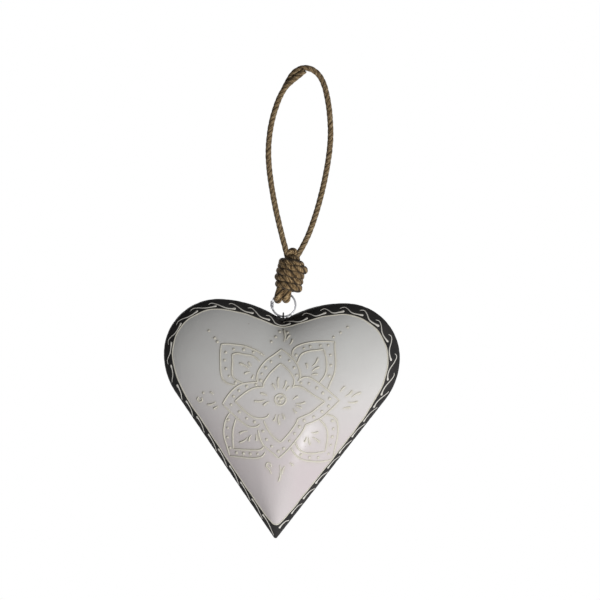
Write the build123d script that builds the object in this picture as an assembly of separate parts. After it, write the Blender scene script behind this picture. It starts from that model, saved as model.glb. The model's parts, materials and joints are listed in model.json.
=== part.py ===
from build123d import *
import math
import os

# Hanging tin heart: two pressed half shells soldered at their edge, a wire eye in the notch,
# a wire ring of two turns and a knotted loop of jute rope.
# Millimetres, +Z up. The front faces -Y, and X = 0 is the heart's middle plane.
# The origin is the point under the rope where a nail holds the loop, straight above the heart.

# Heart outline, at the shells' edge
HEART_WIDTH = 149.3
LOBE_RADIUS = 34.2
SIDE_RADIUS = 43.5
FLANK_ANGLE = 36.1
INNER_RADIUS = 72.0
NOTCH_RADIUS = 4.0
TIP_RADIUS = 1.0
NOTCH_Z = -149.7

# Puffed shells
PUFF_DEPTH = 24.0
LIP_DEPTH = 1.0
SHEET = 0.6
DOME_HEIGHT = 85.0
DOME_POWER = 0.72
NOTCH_SOFTENING = 100.0
TIP_SOFTENING = 35.0
DOME_SCALES = [1.0, 0.985, 0.95, 0.89, 0.80, 0.69, 0.56, 0.42, 0.28, 0.16, 0.07]

# Solder bead round the seam
BEAD_RISE = 0.5
BEAD_HALF_WIDTH = 0.9

# Wire ring and the eye that holds it
RING_RADIUS = 7.5
RING_WIRE = 1.1
RING_TURN_GAP = 0.45
RING_JOIN_ANGLE = 172.0
RING_JOIN_HALF = 32.0
RING_CLEARANCE = 0.4
EYE_WIRE = 1.0
EYE_CLEARANCE = 0.28
EYE_LEG = 4.0

# Wire wrapped round the ring's join
BINDING_WIRE = 0.7
BINDING_GAP = 0.55
BINDING_SEAT = 0.1
BINDING_TURNS = 4

# Jute rope
ROPE = 3.8
BIGHT_ROPE = 4.7
BIGHT_CLEARANCE = 0.55
BIGHT_SPACING = 5.0
BIGHT_WRAP = 36.0
BIGHT_STEM = 2.2

# Knot, set out along a line that leans to the right from the top of the ring
KNOT_LEAN = 11.0
KNOT_TURNS = 4
KNOT_TURN_GAP = 0.5
KNOT_FIRST_TURN = 6.6
KNOT_HALF_WIDTH = 6.9
KNOT_SWELL = 1.5
KNOT_HALF_DEPTH = 6.4
KNOT_CORE_GAP = 0.25
KNOT_CORE_FOOT = 3.6
KNOT_CORE_HEIGHT = 19.4

# Share of the shorter run that each arc of the rope takes up
RUN_SHARE = 0.45

# Points measured along a wound tube, and the diameters along it that count as the same turn
GAP_POINTS = 600
GAP_SKIP = 3

# Rope route, from the knot up. The left leg ends in front, the right leg laps behind it.
LEFT_LEG = [
    (1.9, 0.0, -111.5),
    (0.2, 0.0, -105.0),
    (-3.3, 0.0, -94.0),
    (-8.7, -0.2, -73.6),
    (-12.9, -0.6, -51.0),
    (-13.2, -1.2, -34.5),
    (-10.6, -1.7, -17.8),
    (-4.9, -1.95, -2.5),
    (1.6, -1.95, 4.0),
    (7.8, -1.95, 8.7),
]
RIGHT_LEG = [
    (6.2, 0.0, -111.3),
    (8.9, 0.0, -105.0),
    (14.0, 0.0, -93.4),
    (19.8, 0.0, -72.6),
    (24.2, 0.2, -50.0),
    (26.2, 0.4, -33.0),
    (25.2, 0.7, -18.0),
    (23.2, 1.0, -7.0),
    (20.8, 1.2, 1.4),
    (17.3, 1.5, 7.3),
    (12.6, 1.8, 10.6),
    (6.9, 1.95, 11.0),
    (1.6, 1.95, 8.0),
    (-2.8, 1.95, 2.6),
    (-6.1, 1.95, -3.5),
]

# Places that follow from the sizes
flank = math.radians(FLANK_ANGLE)
lobe_x = HEART_WIDTH / 2 - LOBE_RADIUS
side_x = HEART_WIDTH / 2 - SIDE_RADIUS
notch_rise = math.sqrt((INNER_RADIUS + NOTCH_RADIUS) ** 2 - lobe_x**2) - NOTCH_RADIUS
inner_z = NOTCH_Z - notch_rise
widest_z = inner_z + INNER_RADIUS - LOBE_RADIUS
tip_z = widest_z - (side_x * math.cos(flank) + SIDE_RADIUS) / math.sin(flank)
dome_z = tip_z + DOME_HEIGHT

turn_y = (RING_WIRE + RING_TURN_GAP) / 2
ring_reach = RING_RADIUS + RING_WIRE / 2
# The ring's circle and the bead's inner arc stand apart by the clearance, measured between their centres.
ring_z = inner_z + math.sqrt((INNER_RADIUS + BEAD_RISE + RING_CLEARANCE + ring_reach) ** 2 - lobe_x**2)
ring_bottom_z = ring_z - RING_RADIUS
ring_top_z = ring_z + RING_RADIUS
pair_reach = turn_y + RING_WIRE / 2

knot_frame = Plane(
    origin=(0, 0, ring_top_z),
    x_dir=(math.cos(math.radians(KNOT_LEAN)), 0, -math.sin(math.radians(KNOT_LEAN))),
    z_dir=(math.sin(math.radians(KNOT_LEAN)), 0, math.cos(math.radians(KNOT_LEAN))),
)


def on_circle(centre, radius, degrees):
    """Point (x, z) on a circle in the heart's plane, the angle measured from +X towards +Z."""
    angle = math.radians(degrees)
    return centre[0] + radius * math.cos(angle), centre[1] + radius * math.sin(angle)


def heart_face(depth, scale=1.0, grow=0.0):
    """Heart-shaped face at y = depth.

    The outline grows outwards by grow and is then scaled about the dome's centre. Smaller outlines have a
    rounder notch and tip, so the valley and the ridge fade towards the middle of the dome.
    """
    tip_round = TIP_RADIUS + (1 - scale) * TIP_SOFTENING
    notch_round = NOTCH_RADIUS + (1 - scale) * NOTCH_SOFTENING
    tip_centre = (0, tip_z + tip_round / math.sin(flank))
    side_centre = (side_x, widest_z)
    lobe_centre = (lobe_x, widest_z)
    inner_centre = (lobe_x, inner_z)
    notch_height = math.sqrt((INNER_RADIUS + notch_round) ** 2 - lobe_x**2)
    notch_centre = (0, inner_z + notch_height)
    meet = math.degrees(math.atan2(notch_height, -lobe_x))

    def placed(point, side=1):
        return side * scale * point[0], depth, dome_z + scale * (point[1] - dome_z)

    def arc(centre, radius, start, end, side):
        angles = (start, (start + end) / 2, end)
        return ThreePointArc(*[placed(on_circle(centre, radius, a), side) for a in angles])

    edges = []
    for side in (1, -1):
        edges.append(
            Line(
                placed(on_circle(tip_centre, tip_round + grow, -FLANK_ANGLE), side),
                placed(on_circle(side_centre, SIDE_RADIUS + grow, -FLANK_ANGLE), side),
            )
        )
        edges.append(arc(side_centre, SIDE_RADIUS + grow, -FLANK_ANGLE, 0, side))
        edges.append(arc(lobe_centre, LOBE_RADIUS + grow, 0, 90, side))
        edges.append(arc(inner_centre, INNER_RADIUS + grow, 90, meet, side))
    edges.append(arc(tip_centre, tip_round + grow, -180 + FLANK_ANGLE, -FLANK_ANGLE, 1))
    edges.append(arc(notch_centre, notch_round - grow, meet - 180, -meet, 1))
    return Face(Wire(edges))


def dome_depth(scale, depth):
    """Depth of the dome where the outline has this scale: a rounded crown on a short straight lip."""
    return LIP_DEPTH + (depth - LIP_DEPTH) * (1 - scale**2) ** DOME_POWER


def half_heart(grow, depth):
    """Solid front half: a straight lip at the seam and a crown lofted through scaled outlines."""
    lip = extrude(heart_face(0, grow=grow), amount=LIP_DEPTH, dir=(0, -1, 0))
    sections = [heart_face(-dome_depth(s, depth), s, grow) for s in DOME_SCALES]
    return lip + loft(sections)


def biarc(start, start_dir, end, end_dir):
    """Two arcs that join two points along the given directions."""
    chord = end - start
    both = start_dir + end_dir
    a = 4 - both.dot(both)
    b = 2 * chord.dot(both)
    c = -chord.dot(chord)
    reach = -c / b if a < 1e-9 else (-b + math.sqrt(b * b - 4 * a * c)) / (2 * a)
    first = start + start_dir * reach
    last = end - end_dir * reach
    middle = (first + last) / 2
    return [
        Edge.make_tangent_arc(start, start_dir, middle),
        Edge.make_tangent_arc(middle, (last - first).normalized(), end),
    ]


def wound_edges(place, stations):
    """Biarcs through the places at these stations, along the curve's own direction at each."""
    step = 1e-4
    points = [place(u) for u in stations]
    directions = [(place(u + step) - place(u - step)).normalized() for u in stations]
    edges = []
    for i in range(len(points) - 1):
        edges += biarc(points[i], directions[i], points[i + 1], directions[i + 1])
    return edges


def tube(edges, diameter):
    """Round solid of one diameter along joined edges."""
    path = Wire(edges)
    section = Plane(origin=path @ 0, z_dir=path % 0) * Circle(diameter / 2)
    return sweep(section, path=path)


def least_gap(name, edges, diameter):
    """Print the least gap between turns of a tube, measured on points along its line."""
    path = Wire(edges)
    spacing = path.length / GAP_POINTS
    points = [path @ (i / GAP_POINTS) for i in range(GAP_POINTS + 1)]
    skip = int(GAP_SKIP * diameter / spacing) + 1
    gap = min(
        (points[i] - points[j]).length
        for i in range(GAP_POINTS + 1)
        for j in range(i + skip, GAP_POINTS + 1)
    )
    print(name, "least gap to itself", round(gap - diameter, 3))


def rope_edges(name, points):
    """Straight runs joined by arcs as large as the runs allow, with the radii printed."""
    corners = [Vector(*p) for p in points]
    radii = []
    for before, here, after in zip(corners, corners[1:], corners[2:]):
        run_in = here - before
        run_out = after - here
        half_turn = math.radians(run_in.get_angle(run_out)) / 2
        radii.append(RUN_SHARE * min(run_in.length, run_out.length) / math.tan(half_turn))
    print(name, "radii", [round(r, 1) for r in radii])
    return FilletPolyline(*corners, radius=radii).edges()


def rope_tube(name, points):
    """Plain tube along a rope's route, with its volume set against section times length."""
    edges = rope_edges(name, points)
    solid = tube(edges, ROPE)
    length = Wire(edges).length
    plain = math.pi * ROPE**2 / 4 * length
    print(name, "length", round(length, 1), "volume ratio", round(solid.volume / plain, 4))
    return solid


def ring_place(degrees):
    """Point on the ring's line: two flat turns, with one smooth step between them at the join."""
    start = RING_JOIN_ANGLE + 360 - RING_JOIN_HALF
    share = min(max((degrees - start) / (2 * RING_JOIN_HALF), 0), 1)
    smooth = share**2 * (3 - 2 * share)
    x, z = on_circle((0, ring_z), RING_RADIUS, degrees)
    return Vector(x, turn_y * (2 * smooth - 1), z)


def ring_edges():
    """Line of the ring from its first end, once round, across the join and once round again."""
    arcs = 5
    join = 2 * RING_JOIN_HALF
    flat = 360 - join
    first = RING_JOIN_ANGLE + RING_JOIN_HALF
    stations = [first + flat * i / arcs for i in range(arcs)]
    stations += [first + flat + join * i / arcs for i in range(arcs)]
    stations += [first + 360 + flat * i / arcs for i in range(arcs + 1)]
    return wound_edges(ring_place, stations)


def binding_edges():
    """Line of the wire wrapped round the ring's join."""
    coil_radius = RING_WIRE / 2 + BINDING_SEAT + BINDING_WIRE / 2
    pitch = math.degrees((BINDING_WIRE + BINDING_GAP) / (RING_RADIUS - coil_radius))
    start = RING_JOIN_ANGLE + 360 - pitch * BINDING_TURNS / 2

    def place(turn):
        along = start + pitch * turn
        core = ring_place(along)
        outward = (core - Vector(0, core.Y, ring_z)).normalized()
        angle = 2 * math.pi * turn
        return core + (outward * math.cos(angle) + Vector(0, 1, 0) * math.sin(angle)) * coil_radius

    return wound_edges(place, [i / 4 for i in range(4 * BINDING_TURNS + 1)])


def knot_edges():
    """Line of the turns round the knot, with a straight end of one rope at each side."""
    pitch = ROPE + KNOT_TURN_GAP

    def place(turn):
        angle = 2 * math.pi * turn
        width = KNOT_HALF_WIDTH + KNOT_SWELL * math.sin(math.pi * turn / KNOT_TURNS)
        return knot_frame.from_local_coords(
            Vector(
                width * math.cos(angle),
                -KNOT_HALF_DEPTH * math.sin(angle),
                KNOT_FIRST_TURN + pitch * turn,
            )
        )

    edges = wound_edges(place, [i / 4 for i in range(4 * KNOT_TURNS + 1)])
    whole = Wire(edges)
    start, end = whole @ 0, whole @ 1
    first = Edge.make_line(start - (whole % 0) * ROPE, start)
    last = Edge.make_line(end, end + (whole % 1) * ROPE)
    return [first, *edges, last]


def bight_strand(x):
    """One strand of the rope round the ring's top, with both ends leaning together into the knot."""
    radius = pair_reach + BIGHT_CLEARANCE + BIGHT_ROPE / 2
    wire_z = ring_z + math.sqrt(RING_RADIUS**2 - x**2)
    wrap = math.radians(BIGHT_WRAP)
    stem = (-BIGHT_STEM * math.sin(wrap), BIGHT_STEM * math.cos(wrap))
    turn_end = (radius * math.cos(wrap), radius * math.sin(wrap))
    top = (turn_end[0] + stem[0], turn_end[1] + stem[1])

    def at(y, z):
        return Vector(x, y, wire_z + z)

    edges = [
        Edge.make_line(at(-top[0], top[1]), at(-turn_end[0], turn_end[1])),
        Edge.make_three_point_arc(at(-turn_end[0], turn_end[1]), at(-radius, 0), at(0, -radius)),
        Edge.make_three_point_arc(at(0, -radius), at(radius, 0), at(*turn_end)),
        Edge.make_line(at(*turn_end), at(*top)),
    ]
    return tube(edges, BIGHT_ROPE)


def make_eye(hearts):
    """Wire staple over the seam in the notch, its legs ending on the shells."""
    radius = pair_reach + EYE_CLEARANCE + EYE_WIRE / 2
    low = ring_bottom_z - EYE_LEG
    edges = [
        Edge.make_line((0, -radius, low), (0, -radius, ring_bottom_z)),
        Edge.make_three_point_arc(
            (0, -radius, ring_bottom_z),
            (0, 0, ring_bottom_z + radius),
            (0, radius, ring_bottom_z),
        ),
        Edge.make_line((0, radius, ring_bottom_z), (0, radius, low)),
    ]
    return tube(edges, EYE_WIRE) - hearts


def make_core(legs, bight):
    """Inside of the knot: an oval barrel, cut where the rope's stretches run into it."""
    inset = ROPE / 2 + KNOT_CORE_GAP
    oval = Ellipse(KNOT_HALF_WIDTH - inset, KNOT_HALF_DEPTH - inset)
    foot = knot_frame * Pos(0, 0, KNOT_CORE_FOOT)
    barrel = extrude(foot * oval, amount=KNOT_CORE_HEIGHT)
    for stretch in (*legs, bight):
        barrel -= stretch
    return max(barrel.solids(), key=lambda solid: solid.volume)


front_outer = half_heart(0, PUFF_DEPTH)
back_outer = mirror(front_outer, about=Plane.XZ)
front_shell = front_outer - half_heart(-SHEET, PUFF_DEPTH - SHEET)
back_shell = mirror(front_shell, about=Plane.XZ)
bead_face = heart_face(-BEAD_HALF_WIDTH, grow=BEAD_RISE) - heart_face(-BEAD_HALF_WIDTH)
seam_solder = extrude(bead_face, amount=2 * BEAD_HALF_WIDTH, dir=(0, 1, 0))
hanger_eye = make_eye(front_outer + back_outer)

hanging_ring = tube(ring_edges(), RING_WIRE)
least_gap("hanging_ring", ring_edges(), RING_WIRE)
ring_binding = tube(binding_edges(), BINDING_WIRE)
least_gap("ring_binding", binding_edges(), BINDING_WIRE)

rope_left_leg = rope_tube("rope_left_leg", LEFT_LEG)
rope_right_leg = rope_tube("rope_right_leg", RIGHT_LEG)
knot_wraps = tube(knot_edges(), ROPE)
least_gap("knot_wraps", knot_edges(), ROPE)
ring_bight = bight_strand(-BIGHT_SPACING / 2) + bight_strand(BIGHT_SPACING / 2)
knot_core = make_core([rope_left_leg, rope_right_leg], ring_bight)

nodes = {
    "front_shell": front_shell,
    "back_shell": back_shell,
    "seam_solder": seam_solder,
    "hanger_eye": hanger_eye,
    "hanging_ring": hanging_ring,
    "ring_binding": ring_binding,
    "rope_left_leg": rope_left_leg,
    "rope_right_leg": rope_right_leg,
    "knot_core": knot_core,
    "knot_wraps": knot_wraps,
    "ring_bight": ring_bight,
}

os.makedirs("parts", exist_ok=True)
for name, shape in nodes.items():
    export_step(shape, f"parts/{name}.step")
print("ring centre", round(ring_z, 3), "hinge", round(ring_bottom_z, 3), "top", round(ring_top_z, 3))
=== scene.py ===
import json
import logging
import math
from dataclasses import dataclass
from enum import Enum
from typing import Any, Optional, Sequence, Union

import bmesh
import bpy
import numpy as np
from mathutils import Matrix


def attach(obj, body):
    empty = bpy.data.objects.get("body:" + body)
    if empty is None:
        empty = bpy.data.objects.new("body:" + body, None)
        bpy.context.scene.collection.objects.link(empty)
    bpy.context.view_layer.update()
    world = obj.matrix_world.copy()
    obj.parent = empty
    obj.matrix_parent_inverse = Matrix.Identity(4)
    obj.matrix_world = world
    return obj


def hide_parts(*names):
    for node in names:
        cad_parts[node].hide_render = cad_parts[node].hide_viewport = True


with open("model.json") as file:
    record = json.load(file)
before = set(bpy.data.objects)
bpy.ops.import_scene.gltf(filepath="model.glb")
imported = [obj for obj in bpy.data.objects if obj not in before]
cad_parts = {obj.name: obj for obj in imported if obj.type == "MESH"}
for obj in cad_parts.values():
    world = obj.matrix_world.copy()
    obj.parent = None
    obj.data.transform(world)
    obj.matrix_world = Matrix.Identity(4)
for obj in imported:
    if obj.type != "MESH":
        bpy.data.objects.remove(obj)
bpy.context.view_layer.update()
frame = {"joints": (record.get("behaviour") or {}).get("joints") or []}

# Puffed tin heart on a wire ring and a knotted jute loop.
# Sizes are millimetres in the part's own frame, with +Z up and the front facing -Y.
# The meshes and the finishes are in metres.

Array = np.ndarray
Number = Union[float, Array]
Pair = tuple[float, float]
Four = tuple[float, float, float, float]
Span = Pair
Colour = Four
Place = tuple[float, float, float]
Route = tuple[Pair, ...]
Value = Union[float, Sequence[float], "Signal"]
Sockets = dict[Union[int, str], Value]

MM = 0.001
TURN = 2 * math.pi
QUARTER = math.pi / 2
DEGREES = 360.0
SEED = 7
TINY = 1e-9
WELD = 1e-7
# A table is read up to this many cells before its end, so that a next cell is always there.
LAST_CELL = 1.001
ROUTE_ORDER = 3
ROUTE_RESOLUTION = 24
AXIS_X = np.array((1.0, 0.0, 0.0))
AXIS_Y = np.array((0.0, 1.0, 0.0))
AXIS_Z = np.array((0.0, 0.0, 1.0))

log = logging.getLogger("tin_heart")


class Body(Enum):
    """Moving bodies of the part."""

    ROPE = "rope"
    RING = "ring"
    HEART = "heart"


class Slot(Enum):
    """Material slots of the part."""

    WHITE = "white_paint"
    BLACK = "black_paint"
    WIRE = "galvanised_wire"
    JUTE = "jute"


class Face(Enum):
    """Face of the heart, as the sign of its Y."""

    FRONT = -1
    BACK = 1


class Coat(Enum):
    """Finishes that the pieces take."""

    WHITE = "white"
    BLACK = "black"
    CREAM = "cream"
    SCROLL = "scroll"
    WIRE = "wire"
    JUTE = "jute"
    KNOT = "knot"


Finishes = dict[Coat, bpy.types.Material]


# Shader recipes


class Signal:
    """An output of a shader node, on which arithmetic adds Math nodes."""

    def __init__(self, recipe: "Recipe", socket: bpy.types.NodeSocket) -> None:
        """Keep the socket and the recipe that it belongs to."""
        self.recipe = recipe
        self.socket = socket

    def maths(self, operation: str, first: Value, second: Value) -> "Signal":
        """Add one Math node of two values."""
        return self.recipe.node("ShaderNodeMath", {"operation": operation}, {0: first, 1: second})

    def __add__(self, other: Value) -> "Signal":
        """Sum."""
        return self.maths("ADD", self, other)

    def __radd__(self, other: Value) -> "Signal":
        """Sum, from the right."""
        return self.maths("ADD", other, self)

    def __sub__(self, other: Value) -> "Signal":
        """Difference."""
        return self.maths("SUBTRACT", self, other)

    def __rsub__(self, other: Value) -> "Signal":
        """Difference, from the right."""
        return self.maths("SUBTRACT", other, self)

    def __mul__(self, other: Value) -> "Signal":
        """Product."""
        return self.maths("MULTIPLY", self, other)

    def __rmul__(self, other: Value) -> "Signal":
        """Product, from the right."""
        return self.maths("MULTIPLY", other, self)


@dataclass(frozen=True)
class Grain:
    """Noise of one scale: raw, or as a smooth step over a span of it, on a place that may be stretched."""

    scale: float
    detail: float
    span: Optional[Span] = None
    roughness: float = 0.5
    stretch: Optional[Place] = None


class Recipe:
    """Nodes of one material or world."""

    def __init__(self, tree: bpy.types.NodeTree) -> None:
        """Start from an empty node tree."""
        self.tree = tree
        tree.nodes.clear()

    def node(
        self, kind: str, settings: dict[str, Any], sockets: Sockets, output: Union[int, str] = 0
    ) -> Optional[Signal]:
        """Add a node.

        Args:
            kind: the node's type.
            settings: attributes set first; "stops" holds a ramp's (place, colour) pairs.
            sockets: values or signals for inputs, by name or number.
            output: the output to return.

        Returns:
            The output as a signal, or None where the node has none.
        """
        made = self.tree.nodes.new(kind)
        for name, value in settings.items():
            if name == "stops":
                self.set_stops(made.color_ramp, value)
            else:
                setattr(made, name, value)
        for key, value in sockets.items():
            if isinstance(value, Signal):
                self.tree.links.new(value.socket, made.inputs[key])
            else:
                made.inputs[key].default_value = value
        return Signal(self, made.outputs[output]) if len(made.outputs) else None

    @staticmethod
    def set_stops(ramp: bpy.types.ColorRamp, stops: Sequence[tuple[float, Colour]]) -> None:
        """Give a ramp its stops.

        Args:
            ramp: the ramp.
            stops: places and colours, in rising order.
        """
        while len(ramp.elements) < len(stops):
            ramp.elements.new(1.0)
        for element, (place, colour) in zip(ramp.elements, stops):
            element.position = place
            element.color = colour

    def grain(self, place: Signal, grain: Grain) -> Signal:
        """Noise at a place.

        Args:
            place: the texture place.
            grain: what the noise is like.

        Returns:
            A number from 0 to 1.
        """
        if grain.stretch:
            place = self.node("ShaderNodeMapping", {}, {"Vector": place, "Scale": grain.stretch})
        kind = {"Scale": grain.scale, "Detail": grain.detail, "Roughness": grain.roughness}
        raw = self.node("ShaderNodeTexNoise", {}, {"Vector": place, **kind})
        return self.step(raw, grain.span) if grain.span else raw

    def step(self, value: Signal, span: Span) -> Signal:
        """Smooth step from 0 at the span's start to 1 at its end."""
        sockets = {0: value, 1: span[0], 2: span[1], 3: 0.0, 4: 1.0}
        return self.node("ShaderNodeMapRange", {"interpolation_type": "SMOOTHSTEP"}, sockets)

    def mix(self, share: Value, first: Value, second: Value) -> Signal:
        """Mix two colours by a share."""
        return self.node("ShaderNodeMix", {"data_type": "RGBA"}, {0: share, 6: first, 7: second}, 2)

    def bump(self, height: Signal, depth: float, strength: float) -> Signal:
        """Normal from a height of 0 to 1, this many metres deep."""
        sockets = {"Height": height, "Distance": depth, "Strength": strength}
        return self.node("ShaderNodeBump", {}, sockets)

    def object_place(self) -> Signal:
        """Place in the part's frame, in metres."""
        return self.node("ShaderNodeTexCoord", {}, {}, "Object")

    def attribute(self, name: str) -> Signal:
        """A number kept on the mesh."""
        return self.node("ShaderNodeAttribute", {"attribute_name": name}, {}, "Fac")


# Finishes


@dataclass(frozen=True)
class Finish:
    """A coat with its name, least roughness, gloss and the depth of its bump."""

    name: str = "finish"
    roughness: float = 0.5
    specular: float = 0.5
    bump_depth: float = 0.0001
    bump_strength: float = 0.5

    def sockets(self, recipe: Recipe) -> Sockets:
        """Work out the shader's sockets, which each finish does in its own way."""
        raise NotImplementedError

    def coat(self, recipe: Recipe, colour: Signal, dull: Signal, height: Signal) -> Sockets:
        """Sockets that every coat has.

        Args:
            recipe: the material's nodes.
            colour: the colour.
            dull: what is added to the roughness.
            height: the height that the bump follows.

        Returns:
            The shader's sockets.
        """
        return {
            "Base Color": colour,
            "Roughness": self.roughness + dull,
            "Specular IOR Level": self.specular,
            "Normal": recipe.bump(height, self.bump_depth, self.bump_strength),
        }

    def material(self) -> bpy.types.Material:
        """Build the finish as one principled shader.

        Returns:
            The material.
        """
        material = bpy.data.materials.new(self.name)
        material.use_nodes = True
        recipe = Recipe(material.node_tree)
        shader = recipe.node("ShaderNodeBsdfPrincipled", {}, self.sockets(recipe))
        recipe.node("ShaderNodeOutputMaterial", {}, {"Surface": shader})
        return material


@dataclass(frozen=True)
class PressedTinPaint(Finish):
    """Satin off-white paint on pressed tin, brushed by hand, with painted warm light from below: pinker and
    a little darker low down.

    Painted shade is left beside the relief as a brown wash, and the paint is rubbed smoother round one
    spot.
    """

    name: str = "white_tin_paint"
    roughness: float = 0.18
    specular: float = 0.10
    bump_depth: float = 0.00012
    bump_strength: float = 0.55
    colour: Colour = (0.69, 0.69, 0.67, 1)
    low_warm_light_colour: Colour = (0.635, 0.565, 0.578, 1)
    low_warm_light_span: Span = (-0.250, -0.165)
    clouds: Grain = Grain(32, 4, (0.35, 0.68))
    cloud_colour: Colour = (0.62, 0.60, 0.59, 1)
    cloud_share: float = 0.35
    cloud_dull: float = 0.06
    brushed: Grain = Grain(1, 3, stretch=(900, 900, 120))
    brush_share: float = 0.20
    brush_dull: float = 0.12
    brush_height: float = 0.5
    wash: Colour = (0.54, 0.50, 0.41, 1)
    wash_and_shade_patches: Grain = Grain(260, 3, (0.30, 0.72))
    wash_and_shade_least: float = 0.20
    wash_and_shade_more: float = 0.45
    specks: Grain = Grain(620, 1, (0.775, 0.83))
    speck_colour: Colour = (0.42, 0.37, 0.30, 1)
    speck_share: float = 0.5
    fine_peel: Grain = Grain(700, 2)
    fine_height: float = 0.6
    wide_peel: Grain = Grain(160, 2)
    wide_height: float = 1.3
    rub_place: Place = (0.0140, -0.022, -0.2265)
    rub_span: Span = (0.008, 0.024)
    rub_dull: float = 0.22

    def sockets(self, recipe: Recipe) -> Sockets:
        """Work out the paint.

        Args:
            recipe: the material's nodes.

        Returns:
            The shader's sockets.
        """
        place = recipe.object_place()
        clouds = recipe.grain(place, self.clouds)
        brushed = recipe.grain(place, self.brushed)
        height = recipe.node("ShaderNodeSeparateXYZ", {}, {0: place}, "Z")
        # Painted light: the pinker colour low down stands in for warm light from below.
        colour = recipe.mix(recipe.step(height, self.low_warm_light_span), self.low_warm_light_colour, self.colour)
        shade = clouds * self.cloud_share + brushed * self.brush_share
        colour = recipe.mix(shade, colour, self.cloud_colour)
        patches = self.wash_and_shade_least + recipe.grain(place, self.wash_and_shade_patches) * self.wash_and_shade_more
        # Painted shade: a brown tint beside the relief stands in for the shade at the foot of its lines.
        colour = recipe.mix(recipe.attribute("wash") * patches, colour, self.wash)
        specks = recipe.grain(place, self.specks) * self.speck_share
        colour = recipe.mix(specks, colour, self.speck_colour)
        fine = recipe.grain(place, self.fine_peel) * self.fine_height
        wide = recipe.grain(place, self.wide_peel) * self.wide_height
        ends = {0: place, 1: self.rub_place}
        away = recipe.node("ShaderNodeVectorMath", {"operation": "DISTANCE"}, ends, "Value")
        dull = recipe.step(away, self.rub_span) * self.rub_dull
        dull = dull + clouds * self.cloud_dull + brushed * self.brush_dull
        return self.coat(recipe, colour, dull, fine + wide + brushed * self.brush_height)


@dataclass(frozen=True)
class BandPaint(Finish):
    """Satin black paint of the rim, with faint dust and worn grey spots."""

    name: str = "black_band_paint"
    roughness: float = 0.44
    specular: float = 0.03
    bump_depth: float = 0.00015
    colour: Colour = (0.031, 0.030, 0.030, 1)
    dust: Grain = Grain(90, 5, (0.35, 0.7))
    dust_colour: Colour = (0.056, 0.052, 0.051, 1)
    dust_share: float = 0.75
    dust_dull: float = 0.15
    spots: Grain = Grain(480, 4, (0.68, 0.76), 0.65)
    spot_colour: Colour = (0.15, 0.14, 0.13, 1)
    spot_share: float = 0.45
    spot_dull: float = 0.1
    skin: Grain = Grain(900, 3)

    def sockets(self, recipe: Recipe) -> Sockets:
        """Work out the paint.

        Args:
            recipe: the material's nodes.

        Returns:
            The shader's sockets.
        """
        place = recipe.object_place()
        dust = recipe.grain(place, self.dust)
        spots = recipe.grain(place, self.spots)
        colour = recipe.mix(dust * self.dust_share, self.colour, self.dust_colour)
        colour = recipe.mix(spots * self.spot_share, colour, self.spot_colour)
        dull = dust * self.dust_dull + spots * self.spot_dull
        return self.coat(recipe, colour, dull, recipe.grain(place, self.skin))


@dataclass(frozen=True)
class PipedPaint(Finish):
    """Raised lines of thick paint: cream on the crest with painted shade at the foot, and rubbed in
    patches.
    """

    name: str = "piped_cream_paint"
    roughness: float = 0.40
    specular: float = 0.15
    bump_depth: float = 0.00006
    bump_strength: float = 0.6
    colour: Colour = (0.70, 0.67, 0.58, 1)
    rubbed: Grain = Grain(330, 4, (0.40, 0.70))
    rubbed_colour: Colour = (0.60, 0.565, 0.475, 1)
    rubbed_share: float = 0.45
    rubbed_dull: float = 0.12
    fine: Grain = Grain(2200, 2)
    fine_share: float = 0.1
    foot_shade_colour: Colour = (0.42, 0.39, 0.31, 1)
    foot_shade_share: float = 0.60
    crest_span: Span = (0.0, 0.75)

    def sockets(self, recipe: Recipe) -> Sockets:
        """Work out the paint.

        Args:
            recipe: the material's nodes.

        Returns:
            The shader's sockets.
        """
        place = recipe.object_place()
        rubbed = recipe.grain(place, self.rubbed)
        fine = recipe.grain(place, self.fine)
        share = rubbed * self.rubbed_share + fine * self.fine_share
        colour = recipe.mix(share, self.colour, self.rubbed_colour)
        # Painted shade: the colour darkens from the crest to the foot of each line by its share of painted
        # light.
        crest = recipe.step(recipe.attribute("tone"), self.crest_span)
        colour = recipe.mix((1 - crest) * self.foot_shade_share, colour, self.foot_shade_colour)
        return self.coat(recipe, colour, rubbed * self.rubbed_dull, fine)


@dataclass(frozen=True)
class GalvanisedWire(Finish):
    """Dull zinc on wire, with paler spangles and draw marks."""

    name: str = "galvanised_wire"
    roughness: float = 0.30
    bump_depth: float = 0.00003
    metallic: float = 0.88
    colour: Colour = (0.38, 0.38, 0.40, 1)
    dull_colour: Colour = (0.12, 0.12, 0.13, 1)
    spangle: Grain = Grain(800, 3, (0.38, 0.66))
    spangle_share: float = 0.6
    spangle_dull: float = 0.16
    drawn: Grain = Grain(4200, 2)

    def sockets(self, recipe: Recipe) -> Sockets:
        """Work out the metal.

        Args:
            recipe: the material's nodes.

        Returns:
            The shader's sockets.
        """
        place = recipe.object_place()
        spangle = recipe.grain(place, self.spangle)
        colour = recipe.mix(spangle * self.spangle_share, self.colour, self.dull_colour)
        drawn = recipe.grain(place, self.drawn)
        coat = self.coat(recipe, colour, spangle * self.spangle_dull, drawn)
        return {**coat, "Metallic": self.metallic}


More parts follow.
